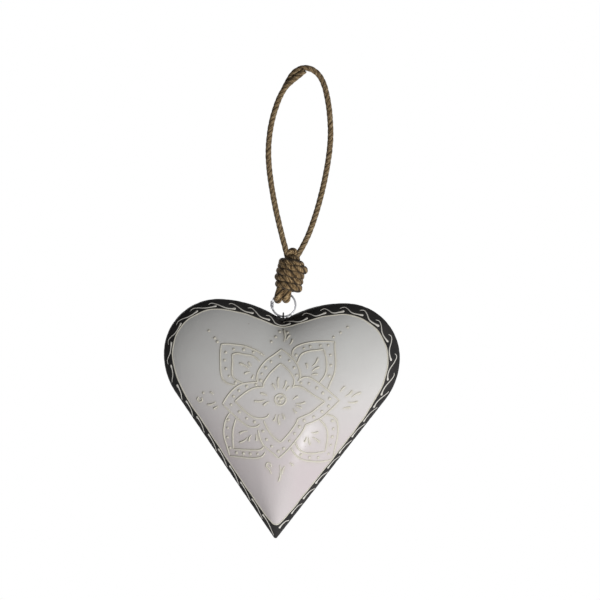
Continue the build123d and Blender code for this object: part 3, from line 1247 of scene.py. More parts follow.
@dataclass
class HeartForm:
    """The puffed heart: nested heart outlines, whose scale sets the depth of the dome."""

    width: float = 149.3
    lobe_radius: float = 34.2
    side_radius: float = 43.5
    flank_angle: float = 36.1
    inner_radius: float = 72.0
    notch_radius: float = 4.0
    tip_radius: float = 1.0
    notch_z: float = -149.7
    puff_depth: float = 24.0
    lip_depth: float = 1.0
    dome_height: float = 85.0
    dome_power: float = 0.72
    notch_softening: float = 100.0
    tip_softening: float = 35.0
    breaks: tuple[float, ...] = (0.0, 0.03, 0.49, 0.60, 0.81, 0.955, 1.0)
    table_scales: int = 90
    table_angles: int = 361
    table_shares: int = 1200
    blur: float = 26.0
    blur_cell: float = 1.0
    blur_margin: float = 2.0
    blur_turns: int = 12
    blur_parts: Pair = (0.5, 1.0)
    dent: float = 0.09
    dent_waves: Pair = (9.1, 11.3)
    dent_phases: Pair = (0.6, 1.9)
    dent_swell: Pair = (17.0, 23.0)
    bulge: float = 0.40
    bulge_place: Pair = (12.5, -228.0)
    bulge_reach: float = 12.0
    rim_fade: float = 6.0
    slope_step: float = 0.4
    share_step: float = 2e-4
    inward_step: float = 2e-3
    outward_step: float = 1e-4

    def __post_init__(self) -> None:
        """Work out the centres, and a table of the outlines' radius by direction and scale."""
        flank = math.radians(self.flank_angle)
        self.lobe_x = self.width / 2 - self.lobe_radius
        self.side_x = self.width / 2 - self.side_radius
        notch_reach = self.inner_radius + self.notch_radius
        self.inner_z = self.notch_z - math.sqrt(notch_reach**2 - self.lobe_x**2) + self.notch_radius
        self.widest_z = self.inner_z + self.inner_radius - self.lobe_radius
        drop = (self.side_x * math.cos(flank) + self.side_radius) / math.sin(flank)
        self.tip_z = self.widest_z - drop
        self.dome_z = self.tip_z + self.dome_height
        self.scales = np.linspace(0, 1, self.table_scales)
        self.angles = np.linspace(-QUARTER, QUARTER, self.table_angles)
        x, z = self.half_outline(np.linspace(0, 1, self.table_shares)[None], self.scales[1:, None])
        bearing = np.arctan2(z - self.dome_z, x)
        reach = np.hypot(x, z - self.dome_z)
        rows = [np.interp(self.angles, b, r) for b, r in zip(bearing, reach)]
        self.reach = np.array([np.zeros_like(self.angles), *rows])
        self.soften()

    def soften(self) -> None:
        """Table how far the scale changes when averaged over a disc that shrinks to nothing at the rim."""
        half = self.width / 2 + self.blur_margin
        top = self.widest_z + self.lobe_radius + self.blur_margin
        self.table_x = np.arange(-half, half + self.blur_cell, self.blur_cell)
        self.table_z = np.arange(self.tip_z - self.blur_margin, top + self.blur_cell, self.blur_cell)
        x, z = (side.ravel() for side in np.meshgrid(self.table_x, self.table_z, indexing="ij"))
        exact = self.scale_at(x, z)
        radius = self.blur * (1 - exact)
        turns = np.arange(0, TURN, TURN / self.blur_turns)
        spots = [
            (part * math.cos(turn), part * math.sin(turn)) for part in self.blur_parts for turn in turns
        ]
        mean = np.mean([self.scale_at(x + a * radius, z + b * radius) for a, b in spots], axis=0)
        self.change = (mean - exact).reshape(len(self.table_x), len(self.table_z))

    def softened(self, x: Array, z: Array, scale: Array) -> Array:
        """Scale at each point with the tabled change, read between its four neighbours.

        Args:
            x: X of the points.
            z: Z of the points.
            scale: the outline's own scale there.

        Returns:
            The softened scale.
        """
        column = np.clip((x - self.table_x[0]) / self.blur_cell, 0, len(self.table_x) - LAST_CELL)
        row = np.clip((z - self.table_z[0]) / self.blur_cell, 0, len(self.table_z) - LAST_CELL)
        i, j = column.astype(int), row.astype(int)
        a, b = column - i, row - j
        low = self.change[i, j] * (1 - a) + self.change[i + 1, j] * a
        high = self.change[i, j + 1] * (1 - a) + self.change[i + 1, j + 1] * a
        return scale + low * (1 - b) + high * b

    def half_outline(self, share: Array, scale: Array) -> tuple[Array, Array]:
        """Right half of the outline, from the tip up to the notch.

        A tip arc, a straight flank, a side arc, a lobe arc, an inner arc and a notch arc follow each other.
        Smaller outlines have a rounder tip and notch, and all are scaled about the dome's centre.

        Args:
            share: the place along the half outline, from 0 to 1.
            scale: the outline's scale, from 0 to 1.

        Returns:
            X and Z of each place.
        """
        flank = math.radians(self.flank_angle)
        tip_round = self.tip_radius + (1 - scale) * self.tip_softening
        notch_round = self.notch_radius + (1 - scale) * self.notch_softening
        notch_height = np.sqrt((self.inner_radius + notch_round) ** 2 - self.lobe_x**2)
        meet = np.arctan2(notch_height, -self.lobe_x)
        tip_centre_z = self.tip_z + tip_round / math.sin(flank)
        spans = zip(self.breaks[:-1], self.breaks[1:])
        v = [np.clip((share - low) / (high - low), 0, 1) for low, high in spans]
        tip = arc(0, tip_centre_z, tip_round, -QUARTER, -flank, v[0])
        side = arc(self.side_x, self.widest_z, self.side_radius, -flank, 0, v[2])
        low = arc(0, tip_centre_z, tip_round, -QUARTER, -flank, np.array(1.0))
        high = arc(self.side_x, self.widest_z, self.side_radius, -flank, 0, np.array(0.0))
        straight = tuple(a + (b - a) * v[1] for a, b in zip(low, high))
        lobe = arc(self.lobe_x, self.widest_z, self.lobe_radius, 0, QUARTER, v[3])
        inner = arc(self.lobe_x, self.inner_z, self.inner_radius, QUARTER, meet, v[4])
        notch = arc(0, self.inner_z + notch_height, notch_round, meet - math.pi, -QUARTER, v[5])
        stretches = (tip, straight, side, lobe, inner, notch)
        which = [share <= b for b in self.breaks[1:-1]] + [share < math.inf]
        x, z = (
            np.select(np.broadcast_arrays(*which), np.broadcast_arrays(*[s[k] for s in stretches]))
            for k in (0, 1)
        )
        return scale * x, self.dome_z + scale * (z - self.dome_z)

    def outline(self, share: Array, scale: Array) -> tuple[Array, Array]:
        """Whole outline, counter-clockwise from the tip, as seen from the front.

        Args:
            share: the place along the outline, from 0 to 1.
            scale: the outline's scale, from 0 to 1.

        Returns:
            X and Z of each place.
        """
        share = np.mod(share, 1)
        x, z = self.half_outline(1 - np.abs(1 - 2 * share), scale)
        return np.where(share > 0.5, -x, x), z

    def depth(self, scale: Array) -> Array:
        """Depth of the dome where the softened outline has this scale: a rounded crown on a short lip."""
        crown = np.maximum(1 - scale**2, 0) ** self.dome_power
        return self.lip_depth + (self.puff_depth - self.lip_depth) * crown

    def dents(self, x: Array, z: Array, scale: Array) -> Array:
        """Slight waves of the hand-pressed sheet, which fade out towards the rim, and one low bulge.

        Args:
            x: X of the points.
            z: Z of the points.
            scale: the outline's scale there.

        Returns:
            The rise at each point.
        """
        (wide, tall), (first, second) = self.dent_waves, self.dent_phases
        short = np.sin(x / wide + first) * np.sin(z / tall + second)
        swell = np.sin(x / self.dent_swell[0] - z / self.dent_swell[1])
        away = ((x - self.bulge_place[0]) ** 2 + (z - self.bulge_place[1]) ** 2) / self.bulge_reach**2
        rise = self.dent * (short + swell) + self.bulge * np.exp(-away / 2)
        return rise * np.clip((1 - scale) * self.rim_fade, 0, 1)

    def lifted(self, x: Array, z: Array, scale: Array, face: Face) -> Array:
        """Points of the seam plane moved out to a face of the dome.

        Args:
            x: X of the points.
            z: Z of the points.
            scale: the outline's scale there.
            face: the face.

        Returns:
            The points.
        """
        y = face.value * (self.depth(self.softened(x, z, scale)) + self.dents(x, z, scale))
        return np.stack([x, y, z], axis=-1)

    def surface(self, share: Array, scale: Array, face: Face) -> Array:
        """Points on a face of the dome, by the place round the outline and the outline's scale."""
        x, z = self.outline(share, scale)
        return self.lifted(*np.broadcast_arrays(x, z, scale), face)

    def scale_at(self, x: Array, z: Array) -> Array:
        """Scale of the outline through each point.

        It is looked up by the point's direction and distance from the dome's centre.

        Args:
            x: X of the points.
            z: Z of the points.

        Returns:
            The scale at each point.
        """
        bearing = np.arctan2(z - self.dome_z, np.abs(x))
        distance = np.hypot(x, z - self.dome_z)
        step = self.angles[1] - self.angles[0]
        column = np.clip((bearing - self.angles[0]) / step, 0, len(self.angles) - LAST_CELL)
        low = column.astype(int)
        part = column - low
        reach = self.reach[:, low] * (1 - part) + self.reach[:, low + 1] * part
        row = np.clip((reach < distance).sum(axis=0), 1, len(self.scales) - 1)
        below = np.take_along_axis(reach, row[None] - 1, 0)[0]
        above = np.take_along_axis(reach, row[None], 0)[0]
        share = np.clip((distance - below) / np.maximum(above - below, TINY), 0, 1)
        return self.scales[row - 1] + share * (self.scales[row] - self.scales[row - 1])

    def draped(self, x: Array, z: Array, face: Face) -> Array:
        """Points on a face of the dome, straight in front of or behind points of the seam plane."""
        return self.lifted(x, z, self.scale_at(x, z), face)

    def draped_normal(self, x: Array, z: Array, face: Face) -> Array:
        """Outward normals at draped points, from the slope over a short step each way.

        Args:
            x: X of the points.
            z: Z of the points.
            face: the face.

        Returns:
            A normal for each point.
        """
        reach = self.slope_step
        dx = self.draped(x + reach, z, face) - self.draped(x - reach, z, face)
        dz = self.draped(x, z + reach, face) - self.draped(x, z - reach, face)
        return unit(np.cross(dx, dz)) * -face.value

    def surface_normal(self, share: Array, scale: Array, face: Face) -> Array:
        """Outward normals at places round the outline, from the slope over a short step each way.

        Args:
            share: the place round the outline, from 0 to 1.
            scale: the outline's scale, from 0 to 1.
            face: the face.

        Returns:
            A normal for each place.
        """
        ahead, behind = share + self.share_step, share - self.share_step
        along = self.surface(ahead, scale, face) - self.surface(behind, scale, face)
        inner, outer = scale - self.inward_step, scale + self.outward_step
        inward = self.surface(share, inner, face) - self.surface(share, outer, face)
        normal = unit(np.cross(along, inward))
        out = np.sign((normal * AXIS_Y * face.value).sum(-1, keepdims=True))
        return normal * np.where(out == 0, 1, out)


@dataclass
class Relief:
    """Raised lines and dots of paint on one face of the dome."""

    form: HeartForm
    face: Face
    sides: int = 10
    root: float = 0.25
    dot_rises: tuple[float, ...] = (-50.0, 0.0, 28.0, 55.0, 76.0)
    dot_sides: int = 12

    def ribbons(
        self, points: Array, normals: Array, width: Number, height: Number, loop: bool = False
    ) -> Patch:
        """Half-round lines: an ellipse square to each line, sunk a little into the surface.

        Args:
            points: lines x stations x 3, on the surface.
            normals: the surface's normals there.
            width: width of the line at each station.
            height: rise of the line at each station.
            loop: whether each line closes on itself.

        Returns:
            The lines, with painted light full on the crest and painted shade at the foot.
        """
        ahead = np.roll(points, -1, 1) - np.roll(points, 1, 1) if loop else np.gradient(points, axis=1)
        side = unit(np.cross(ahead, normals))
        angle = np.linspace(0, TURN, self.sides, endpoint=False)
        width = np.broadcast_to(width, points.shape[:2])[..., None]
        height = np.broadcast_to(height, points.shape[:2])[..., None]
        across = width / 2 * np.cos(angle)
        rise = np.where(np.sin(angle) > 0, height, self.root) * np.sin(angle)
        ring = points[:, :, None] + side[:, :, None] * across[..., None]
        ring = ring + normals[:, :, None] * rise[..., None]
        return grid_patch(ring, wrap=True, loop=loop, painted_lights=np.maximum(np.sin(angle), 0))

    def flat_lines(self, x: Array, z: Array, width: Number, height: Number, loop: bool = False) -> Patch:
        """Lines given in the seam plane, draped on the face.

        Args:
            x: X of the lines x stations.
            z: Z of the lines x stations.
            width: width of the line at each station.
            height: rise of the line at each station.
            loop: whether each line closes on itself.

        Returns:
            The lines.
        """
        points = self.form.draped(x.ravel(), z.ravel(), self.face).reshape(*x.shape, 3)
        normals = self.form.draped_normal(x.ravel(), z.ravel(), self.face).reshape(*x.shape, 3)
        return self.ribbons(points, normals, width, height, loop)

    def dots(self, x: Array, z: Array, radius: Array, height: float) -> Patch:
        """Domed dots: a quarter circle turned about the normal, sunk a little into the surface.

        Args:
            x: X of the dots.
            z: Z of the dots.
            radius: radius of each dot.
            height: rise of the dots.

        Returns:
            The dots.
        """
        points = self.form.draped(x, z, self.face)
        normals = self.form.draped_normal(x, z, self.face)
        first = unit(np.cross(normals, AXIS_Z))
        second = np.cross(normals, first)
        rise = np.radians(np.array(self.dot_rises))[:, None, None]
        turn = np.linspace(0, TURN, self.dot_sides, endpoint=False)[None, :, None]
        flat = np.cos(turn) * first[:, None, None] + np.sin(turn) * second[:, None, None]
        lift = np.where(rise < 0, self.root, height) * np.sin(rise) * normals[:, None, None]
        ring = points[:, None, None] + radius[:, None, None, None] * np.cos(rise) * flat + lift
        # Painted light: full on each dot's top, none at its foot.
        return grid_patch(ring, wrap=True, painted_lights=np.maximum(np.sin(rise[..., 0]), 0))


def round_ends(stations: int, sharpness: float, least: float = 0.02) -> Array:
    """Share of a line's width at each station, full along it and rounded off at both ends."""
    across = np.abs(np.linspace(-1, 1, stations))
    return np.sqrt(np.maximum(1 - across**sharpness, least))


@dataclass
class RimBand:
    """Black band round the rim of one face, its cream border line and its scroll of S strokes."""

    relief: Relief
    bearings: tuple[float, ...] = (-90, -80, -45, -12, 0, 10, 32, 50, 62, 75, 82, 90)
    right_edge: tuple[float, ...] = (
        0.915, 0.932, 0.938, 0.934, 0.914, 0.890, 0.908, 0.906, 0.891, 0.872, 0.880, 0.896,
    )
    left_edge: tuple[float, ...] = (
        0.915, 0.934, 0.934, 0.925, 0.928, 0.908, 0.938, 0.924, 0.896, 0.879, 0.880, 0.896,
    )
    edge_middle: float = 0.95
    edge_stations: int = 300
    waver: float = 0.0012
    waver_counts: Pair = (23, 37)
    waver_phases: Pair = (1, 2)
    thickness: float = 0.10
    bevel: float = 6.0
    seam_inside: float = 0.999
    band_columns: int = 560
    band_rows: int = 22
    border_width: float = 0.88
    border_height: float = 0.25
    border_uneven: float = 0.25
    border_counts: Pair = (61, 17)
    border_columns: int = 640
    pitch: float = 12.2
    tip_gap: float = 2.2
    lobe_z: float = -185.0
    lobe_blend: float = 30.0
    lobe_reach: float = 1.36
    flank_reach: float = 0.98
    lobe_stroke: Route = (
        (0.0, 0.56), (0.07, 0.67), (0.17, 0.71), (0.32, 0.54), (0.50, 0.27), (0.66, 0.19), (0.84, 0.23),
        (1.0, 0.32),
    )
    flank_stroke: Route = (
        (0.0, 0.88), (0.10, 0.80), (0.22, 0.66), (0.38, 0.50), (0.56, 0.40), (0.78, 0.36), (1.0, 0.40),
    )
    thin: float = 0.70
    thick: float = 1.10
    swell_power: float = 1.5
    blob: float = 1.10
    blob_share: float = 0.11
    end_sharpness: float = 14
    stroke_height: float = 0.32
    high_width: float = 1.3
    stroke_middle: float = 0.42
    start_spread: float = 0.05
    swing_spread: float = 0.12
    place_spread: float = 0.03
    width_spread: float = 0.12
    outline_stations: int = 3000
    route_stations: int = 200
    stroke_stations: int = 40
    seed: int = 31

    def edge(self, share: Array) -> Array:
        """Scale of the band's inner edge: listed scales by bearing on each side, with a slight waver.

        Args:
            share: the place round the outline, from 0 to 1.

        Returns:
            The scale at each place.
        """
        form = self.relief.form
        x, z = form.outline(share, np.array(self.edge_middle))
        bearing = np.degrees(np.arctan2(z - form.dome_z, np.abs(x)))
        sides = []
        for scales in (self.right_edge, self.left_edge):
            table = smooth_curve(list(zip(self.bearings, scales)), self.edge_stations)
            sides.append(np.interp(bearing, table[:, 0], table[:, 1]))
        waves = zip(self.waver_counts, self.waver_phases)
        shake = self.waver * sum(np.sin(TURN * count * share + phase) for count, phase in waves)
        return np.where(x > 0, sides[0], sides[1]) + shake

    def band(self) -> Patch:
        """Layer of paint: a grid from the seam to the inner edge, lifted off the sheet by its thickness.

        Returns:
            The layer, closed underneath.
        """
        form, face = self.relief.form, self.relief.face
        share = np.linspace(0, 1, self.band_columns, endpoint=False)[None]
        down = np.linspace(0, 1, self.band_rows)[:, None]
        scale = 1 - (1 - self.edge(share)) * down**2
        lift = np.minimum(self.thickness, self.bevel * self.thickness * (1 - down))
        skin = form.surface(share, scale, face)
        normal = form.surface_normal(share, np.minimum(scale, self.seam_inside), face)
        top = skin + normal * lift[..., None]
        under = skin[::-1] - normal[::-1] * self.thickness
        shell = np.concatenate([top, under])
        return grid_patch(np.swapaxes(shell, 0, 1)[None], wrap=True, loop=True)

    def border(self) -> Patch:
        """Cream line along the band's inner edge, a little uneven in width.

        Returns:
            The line.
        """
        form, face = self.relief.form, self.relief.face
        share = np.linspace(0, 1, self.border_columns, endpoint=False)[None]
        scale = self.edge(share)
        points = form.surface(share, scale, face)
        normals = form.surface_normal(share, scale, face)
        width = self.border_width * uneven(share, self.border_uneven, self.border_counts)
        return self.relief.ribbons(points, normals, width, self.border_height, loop=True)

    def scroll(self) -> Patch:
        """S strokes round the band, each from a thin hook near the rim to a round blob nearer the border.

        A stroke's place across the band follows given points along its length. It is long and swings
        far on the lobes, short and steady on the flanks, and a smooth step in height blends the two.

        Returns:
            The strokes, which differ a little in place, swing and width.
        """
        form, face = self.relief.form, self.relief.face
        rng = np.random.default_rng(SEED + self.seed)
        fine = np.linspace(0, 1, self.outline_stations)
        x, z = form.outline(fine, np.array(self.edge_middle))
        run = np.concatenate([[0], np.cumsum(np.hypot(np.diff(x), np.diff(z)))])
        last = run[-1] - self.tip_gap - self.flank_reach * self.pitch
        count = round((last - self.tip_gap) / self.pitch) + 1
        start = np.linspace(self.tip_gap, last, count)[:, None]
        start = start + rng.uniform(-self.start_spread, self.start_spread, start.shape) * self.pitch
        height = np.interp(start, run, z[::-1])
        lobe = smooth_step(np.clip((height - self.lobe_z) / self.lobe_blend + 0.5, 0, 1))
        t = np.linspace(0, 1, self.stroke_stations)[None]
        reach = self.flank_reach + (self.lobe_reach - self.flank_reach) * lobe
        share = 1 - np.interp(start + reach * self.pitch * t, run, fine)
        routes = (self.flank_stroke, self.lobe_stroke)
        tables = [smooth_curve(route, self.route_stations) for route in routes]
        flank_way, lobe_way = (np.interp(t, table[:, 0], table[:, 1]) for table in tables)
        across = flank_way * (1 - lobe) + lobe_way * lobe
        swing = 1 + rng.uniform(-self.swing_spread, self.swing_spread, start.shape)
        across = self.stroke_middle + (across - self.stroke_middle) * swing
        across = across + rng.uniform(-self.place_spread, self.place_spread, start.shape)
        inner = self.edge(share)
        scale = inner + across * (1 - inner)
        points = form.surface(share, scale, face)
        normals = form.surface_normal(share, scale, face)
        drop = self.blob * np.exp(-(((1 - t) / self.blob_share) ** 2))
        width = self.thin + (self.thick - self.thin) * t**self.swell_power + drop
        width = width * (1 + rng.uniform(-self.width_spread, self.width_spread, start.shape))
        width = width * round_ends(self.stroke_stations, self.end_sharpness)
        rise = self.stroke_height * np.minimum(width, self.high_width)
        return self.relief.ribbons(points, normals, width, rise)

    def build(self, finishes: Finishes) -> None:
        """Make the band, its border and its scroll.

        Args:
            finishes: the paints.
        """
        side = self.relief.face.name.lower()
        add_piece(f"{side}_rim_band", self.band(), finishes[Coat.BLACK], Body.HEART)
        add_piece(f"{side}_rim_border", self.border(), finishes[Coat.CREAM], Body.HEART)
        add_piece(f"{side}_rim_scroll", self.scroll(), finishes[Coat.SCROLL], Body.HEART)


@dataclass
class FlowerRelief:
    """Raised flower of four front petals over four diagonal ones, with dots, teardrops and sprays.

    Places are millimetres right of and above the flower's centre.
    """

    relief: Relief
    centre_x: float = 0.1
    centre_z: float = -199.6
    line: float = 1.05
    line_ends: float = 16
    rise: float = 0.32
    stations: int = 56
    ring: float = 3.5
    ring_stations: int = 40
    front_outer: tuple[Route, ...] = (
        ((-14.8, 10.5), (-15.4, 13.0), (-14.7, 17.0), (-12.5, 21.0), (-9.0, 25.0), (-4.0, 28.7),
         (-0.4, 31.7)),
        ((-0.4, 31.7), (3.6, 28.9), (7.6, 25.3), (10.2, 21.5), (11.6, 17.5), (11.8, 14.0), (10.6, 11.8)),
        ((10.6, 11.8), (12.2, 13.4), (14.5, 14.6), (17.5, 14.6), (21.0, 13.0), (26.0, 9.8), (31.0, 5.8),
         (37.3, 0.6)),
        ((37.3, 0.6), (33.0, -4.0), (28.5, -8.5), (25.0, -11.3), (20.0, -13.8), (16.2, -15.2)),
        ((16.2, -15.2), (15.6, -17.5), (13.8, -20.7), (11.0, -24.7), (7.0, -30.0), (3.2, -34.2),
         (0.2, -37.0)),
        ((0.2, -37.0), (-3.5, -34.0), (-8.6, -30.0), (-11.0, -27.0), (-12.6, -23.0), (-13.4, -19.5)),
        ((-12.3, -15.8), (-14.3, -17.4), (-18.0, -17.9), (-21.5, -16.6), (-25.5, -13.7), (-30.0, -10.0),
         (-36.4, -4.2)),
        ((-36.4, -4.2), (-33.5, 0.8), (-30.0, 5.2), (-25.5, 8.6), (-20.0, 10.0), (-14.8, 10.5)),
    )
    front_inner: tuple[Route, ...] = (
        ((-10.8, 7.7), (-10.9, 9.8), (-9.4, 12.8), (-6.8, 16.6), (-3.6, 20.0), (-0.6, 22.8)),
        ((-0.6, 22.8), (2.6, 20.4), (5.6, 17.4), (7.8, 13.8), (8.3, 10.4), (7.2, 7.6)),
        ((7.2, 7.6), (8.7, 8.6), (11.0, 8.8), (14.0, 8.0), (18.0, 5.5), (22.5, 2.6), (28.2, -0.4)),
        ((28.2, -0.4), (25.0, -3.0), (20.0, -7.3), (15.5, -9.7), (11.4, -11.6)),
        ((11.4, -11.6), (10.6, -14.2), (8.0, -18.4), (4.8, -22.7), (1.2, -27.0)),
        ((1.2, -27.0), (-2.4, -24.8), (-5.8, -21.2), (-8.4, -17.2), (-10.0, -13.6)),
        ((-6.7, -9.3), (-8.3, -11.2), (-12.0, -12.2), (-17.0, -11.4), (-21.2, -8.8), (-25.2, -5.2),
         (-28.7, -2.2)),
        ((-28.7, -2.2), (-24.0, 2.2), (-20.0, 5.2), (-16.0, 7.0), (-10.8, 7.7)),
    )
    diagonal_outer: tuple[Route, ...] = (
        ((-38.5, 33.5), (-34.0, 33.8), (-29.0, 33.4), (-24.5, 33.0), (-20.0, 31.7), (-15.0, 29.7),
         (-10.8, 27.0)),
        ((-38.5, 33.5), (-38.9, 28.0), (-38.6, 22.0), (-38.2, 16.0), (-36.8, 11.6), (-33.5, 9.1),
         (-28.6, 8.0)),
        ((33.0, 37.6), (26.0, 37.5), (20.0, 37.0), (15.0, 36.0), (11.0, 34.6), (8.0, 32.8), (6.6, 30.6),
         (6.6, 28.0)),
        ((33.0, 37.6), (33.0, 33.0), (33.6, 28.0), (33.9, 23.0), (33.2, 17.0), (31.2, 12.0), (29.4, 7.2)),
        ((-30.9, -37.0), (-33.0, -30.5), (-34.8, -25.0), (-35.1, -19.4), (-34.0, -14.0), (-31.8, -9.6)),
        ((-30.9, -37.0), (-25.0, -37.3), (-19.0, -37.6), (-14.0, -37.4), (-10.2, -36.1), (-8.4, -33.4)),
        ((34.6, -37.1), (35.4, -30.5), (36.6, -24.0), (37.0, -18.0), (36.4, -13.4), (34.2, -10.0),
         (29.4, -8.2)),
        ((34.6, -37.1), (27.0, -38.6), (20.0, -38.4), (14.6, -37.2), (10.8, -34.6), (7.6, -30.2)),
    )
    diagonal_inner: tuple[Route, ...] = (
        ((-31.4, 27.4), (-28.0, 28.2), (-24.0, 27.6), (-20.0, 27.2), (-17.0, 26.2), (-13.6, 23.4)),
        ((-31.4, 27.4), (-31.0, 22.0), (-31.2, 17.0), (-30.4, 13.4), (-28.0, 11.2), (-24.0, 9.6)),
        ((26.2, 32.6), (22.0, 31.9), (18.0, 31.3), (14.0, 30.0), (11.6, 28.0), (9.6, 23.2)),
        ((26.2, 32.6), (27.4, 29.0), (28.3, 24.0), (28.2, 19.0), (27.0, 15.4), (24.2, 11.6)),
        ((-28.8, -32.4), (-29.2, -26.0), (-29.2, -20.0), (-27.6, -13.0)),
        ((-28.8, -32.4), (-22.0, -32.5), (-16.0, -32.4), (-11.6, -32.0), (-9.4, -30.0)),
        ((29.4, -32.0), (30.4, -25.4), (30.4, -20.0), (28.8, -15.6), (25.0, -11.6)),
        ((29.4, -32.0), (22.0, -33.4), (16.4, -33.0), (12.8, -30.8), (10.2, -26.4)),
    )
    curls: tuple[Route, ...] = (
        ((-3.9, -47.2), (-5.6, -44.2), (-7.4, -42.4), (-6.8, -40.2), (-4.9, -40.8), (-4.4, -42.8)),
        ((-51.9, -0.4), (-52.4, -2.2), (-51.0, -3.4), (-49.4, -2.6), (-49.8, -0.8)),
    )
    beads: Route = (
        (-30.5, 30.6), (-24.2, 30.6), (-18.0, 29.2), (-13.0, 28.4), (-35.4, 28.5), (-36.0, 23.5),
        (-34.9, 18.2), (-32.8, 13.7), (-28.6, 9.6), (9.0, 28.3), (13.7, 32.7), (17.7, 34.1), (24.0, 34.8),
        (29.0, 35.2), (30.6, 29.0), (31.0, 22.6), (30.2, 15.8), (-32.4, -14.0), (-32.6, -19.2),
        (-32.6, -25.2), (-30.8, -31.8), (-26.6, -34.8), (-22.2, -35.0), (-17.8, -35.0), (-13.2, -34.8),
        (33.2, -12.4), (34.0, -17.4), (33.6, -22.6), (32.8, -28.0), (31.6, -33.6), (25.2, -36.0),
        (19.6, -35.9), (14.2, -34.4), (-1.0, 27.0), (-6.6, 23.6), (-9.9, 19.7), (-12.2, 15.8),
        (-12.8, 11.6), (4.8, 24.6), (8.0, 20.4), (9.7, 15.8), (12.6, 11.0), (17.6, 10.8), (22.6, 8.2),
        (26.6, 5.0), (31.0, 1.8), (30.6, -3.0), (26.4, -6.6), (21.4, -10.2), (15.4, -12.6), (12.6, -16.6),
        (9.6, -21.0), (6.6, -25.8), (3.2, -30.6), (-0.2, -32.6), (-4.4, -29.6), (-7.8, -25.4),
        (-10.2, -20.2), (-15.8, -14.6), (-20.8, -12.6), (-25.6, -8.8), (-30.8, -4.4), (-29.6, 1.0),
        (-26.2, 4.8), (-21.4, 7.6), (-15.6, 8.9), (0.2, 0.3), (1.3, 1.0), (-1.2, 0.8), (-0.3, -1.4),
        (-6.9, 36.1), (-4.4, 39.2), (-2.0, 42.6), (3.0, 42.3), (-48.8, 2.3), (-41.0, 34.9), (-42.8, 37.2),
        (-46.7, 41.6), (32.2, 40.4), (36.6, 43.3), (40.9, 46.9),
    )
    bead_radius: float = 0.92
    bead_rise: float = 0.36
    bead_spread: float = 0.15
    bead_seed: int = 5
    drops: tuple[Four, ...] = (
        (-3.3, 5.8, -5.5, 9.8), (-1.2, 7.0, -1.5, 14.2), (1.3, 6.8, 3.1, 12.2), (3.4, 5.4, 5.6, 8.6),
        (-8.2, 2.0, -12.8, 3.5), (-9.4, -0.3, -16.6, -1.3), (-6.8, -1.4, -10.6, -4.2),
        (8.0, 0.0, 11.2, 2.5), (9.6, -2.0, 16.0, -0.9), (9.8, -3.8, 13.6, -4.9), (8.2, -5.4, 10.6, -8.0),
        (-2.6, -9.4, -4.1, -13.6), (-0.3, -9.2, 0.0, -16.0), (1.2, -8.8, 2.8, -12.4),
        (-20.6, 18.8, -26.8, 21.8), (-18.8, 20.2, -20.8, 23.0), (-19.4, 16.6, -23.2, 15.3),
        (-17.6, 15.2, -18.6, 12.6), (19.2, 21.4, 22.8, 27.2), (19.2, 18.2, 24.0, 21.4),
        (16.2, 19.8, 15.3, 23.4), (19.0, 16.2, 23.0, 16.6), (-19.8, -20.7, -25.2, -22.6),
        (-19.6, -24.4, -25.2, -28.2), (-17.4, -22.8, -19.0, -27.2), (-14.8, -22.4, -14.4, -26.6),
        (20.2, -20.0, 24.8, -19.6), (20.8, -23.2, 25.8, -26.6), (18.8, -23.2, 20.0, -28.0),
        (17.2, -22.6, 15.8, -26.4), (0.9, 36.0, 0.3, 44.2), (2.6, 37.4, 4.7, 40.8),
        (4.4, 34.4, 6.3, 38.2), (37.6, 5.8, 40.6, 9.6), (40.6, 3.3, 45.1, 7.2), (44.8, 2.5, 51.0, 6.0),
        (42.4, -0.2, 49.0, 0.4), (39.6, -4.5, 44.6, -3.9), (-42.2, 1.5, -44.5, 3.0),
        (-40.6, -3.0, -46.2, -4.9), (-38.8, -5.8, -42.0, -7.7), (0.9, -41.2, 0.4, -52.2),
        (4.4, -41.6, 2.6, -47.4), (7.0, -39.8, 9.6, -41.6),
    )
    drop_bend: float = 0.10
    drop_thin: float = 0.75
    drop_thick: float = 1.65
    drop_power: float = 1.6
    drop_ends: float = 7
    drop_high_width: float = 1.2
    drop_stations: int = 18

    def lines(self) -> Patch:
        """Outlines of the petals and the curls, smooth through their points, and the ring at the centre.

        Returns:
            The lines.
        """
        groups = (self.front_outer, self.front_inner, self.diagonal_outer, self.diagonal_inner, self.curls)
        curves = np.array([smooth_curve(route, self.stations) for group in groups for route in group])
        x, z = curves[..., 0] + self.centre_x, curves[..., 1] + self.centre_z
        width = self.line * round_ends(self.stations, self.line_ends)
        outlines = self.relief.flat_lines(x, z, width, self.rise)
        angle = np.linspace(0, TURN, self.ring_stations, endpoint=False)[None]
        x, z = self.centre_x + self.ring * np.cos(angle), self.centre_z + self.ring * np.sin(angle)
        ring = self.relief.flat_lines(x, z, self.line, self.rise, loop=True)
        return Patch.joined([outlines, ring])

    def bead_dots(self) -> Patch:
        """Dots between the outlines, at the centre and in the trails, a little uneven in size.

        Returns:
            The dots.
        """
        rng = np.random.default_rng(SEED + self.bead_seed)
        x, z = np.array(self.beads).T
        radius = self.bead_radius * (1 + rng.uniform(-self.bead_spread, self.bead_spread, len(x)))
        return self.relief.dots(x + self.centre_x, z + self.centre_z, radius, self.bead_rise)

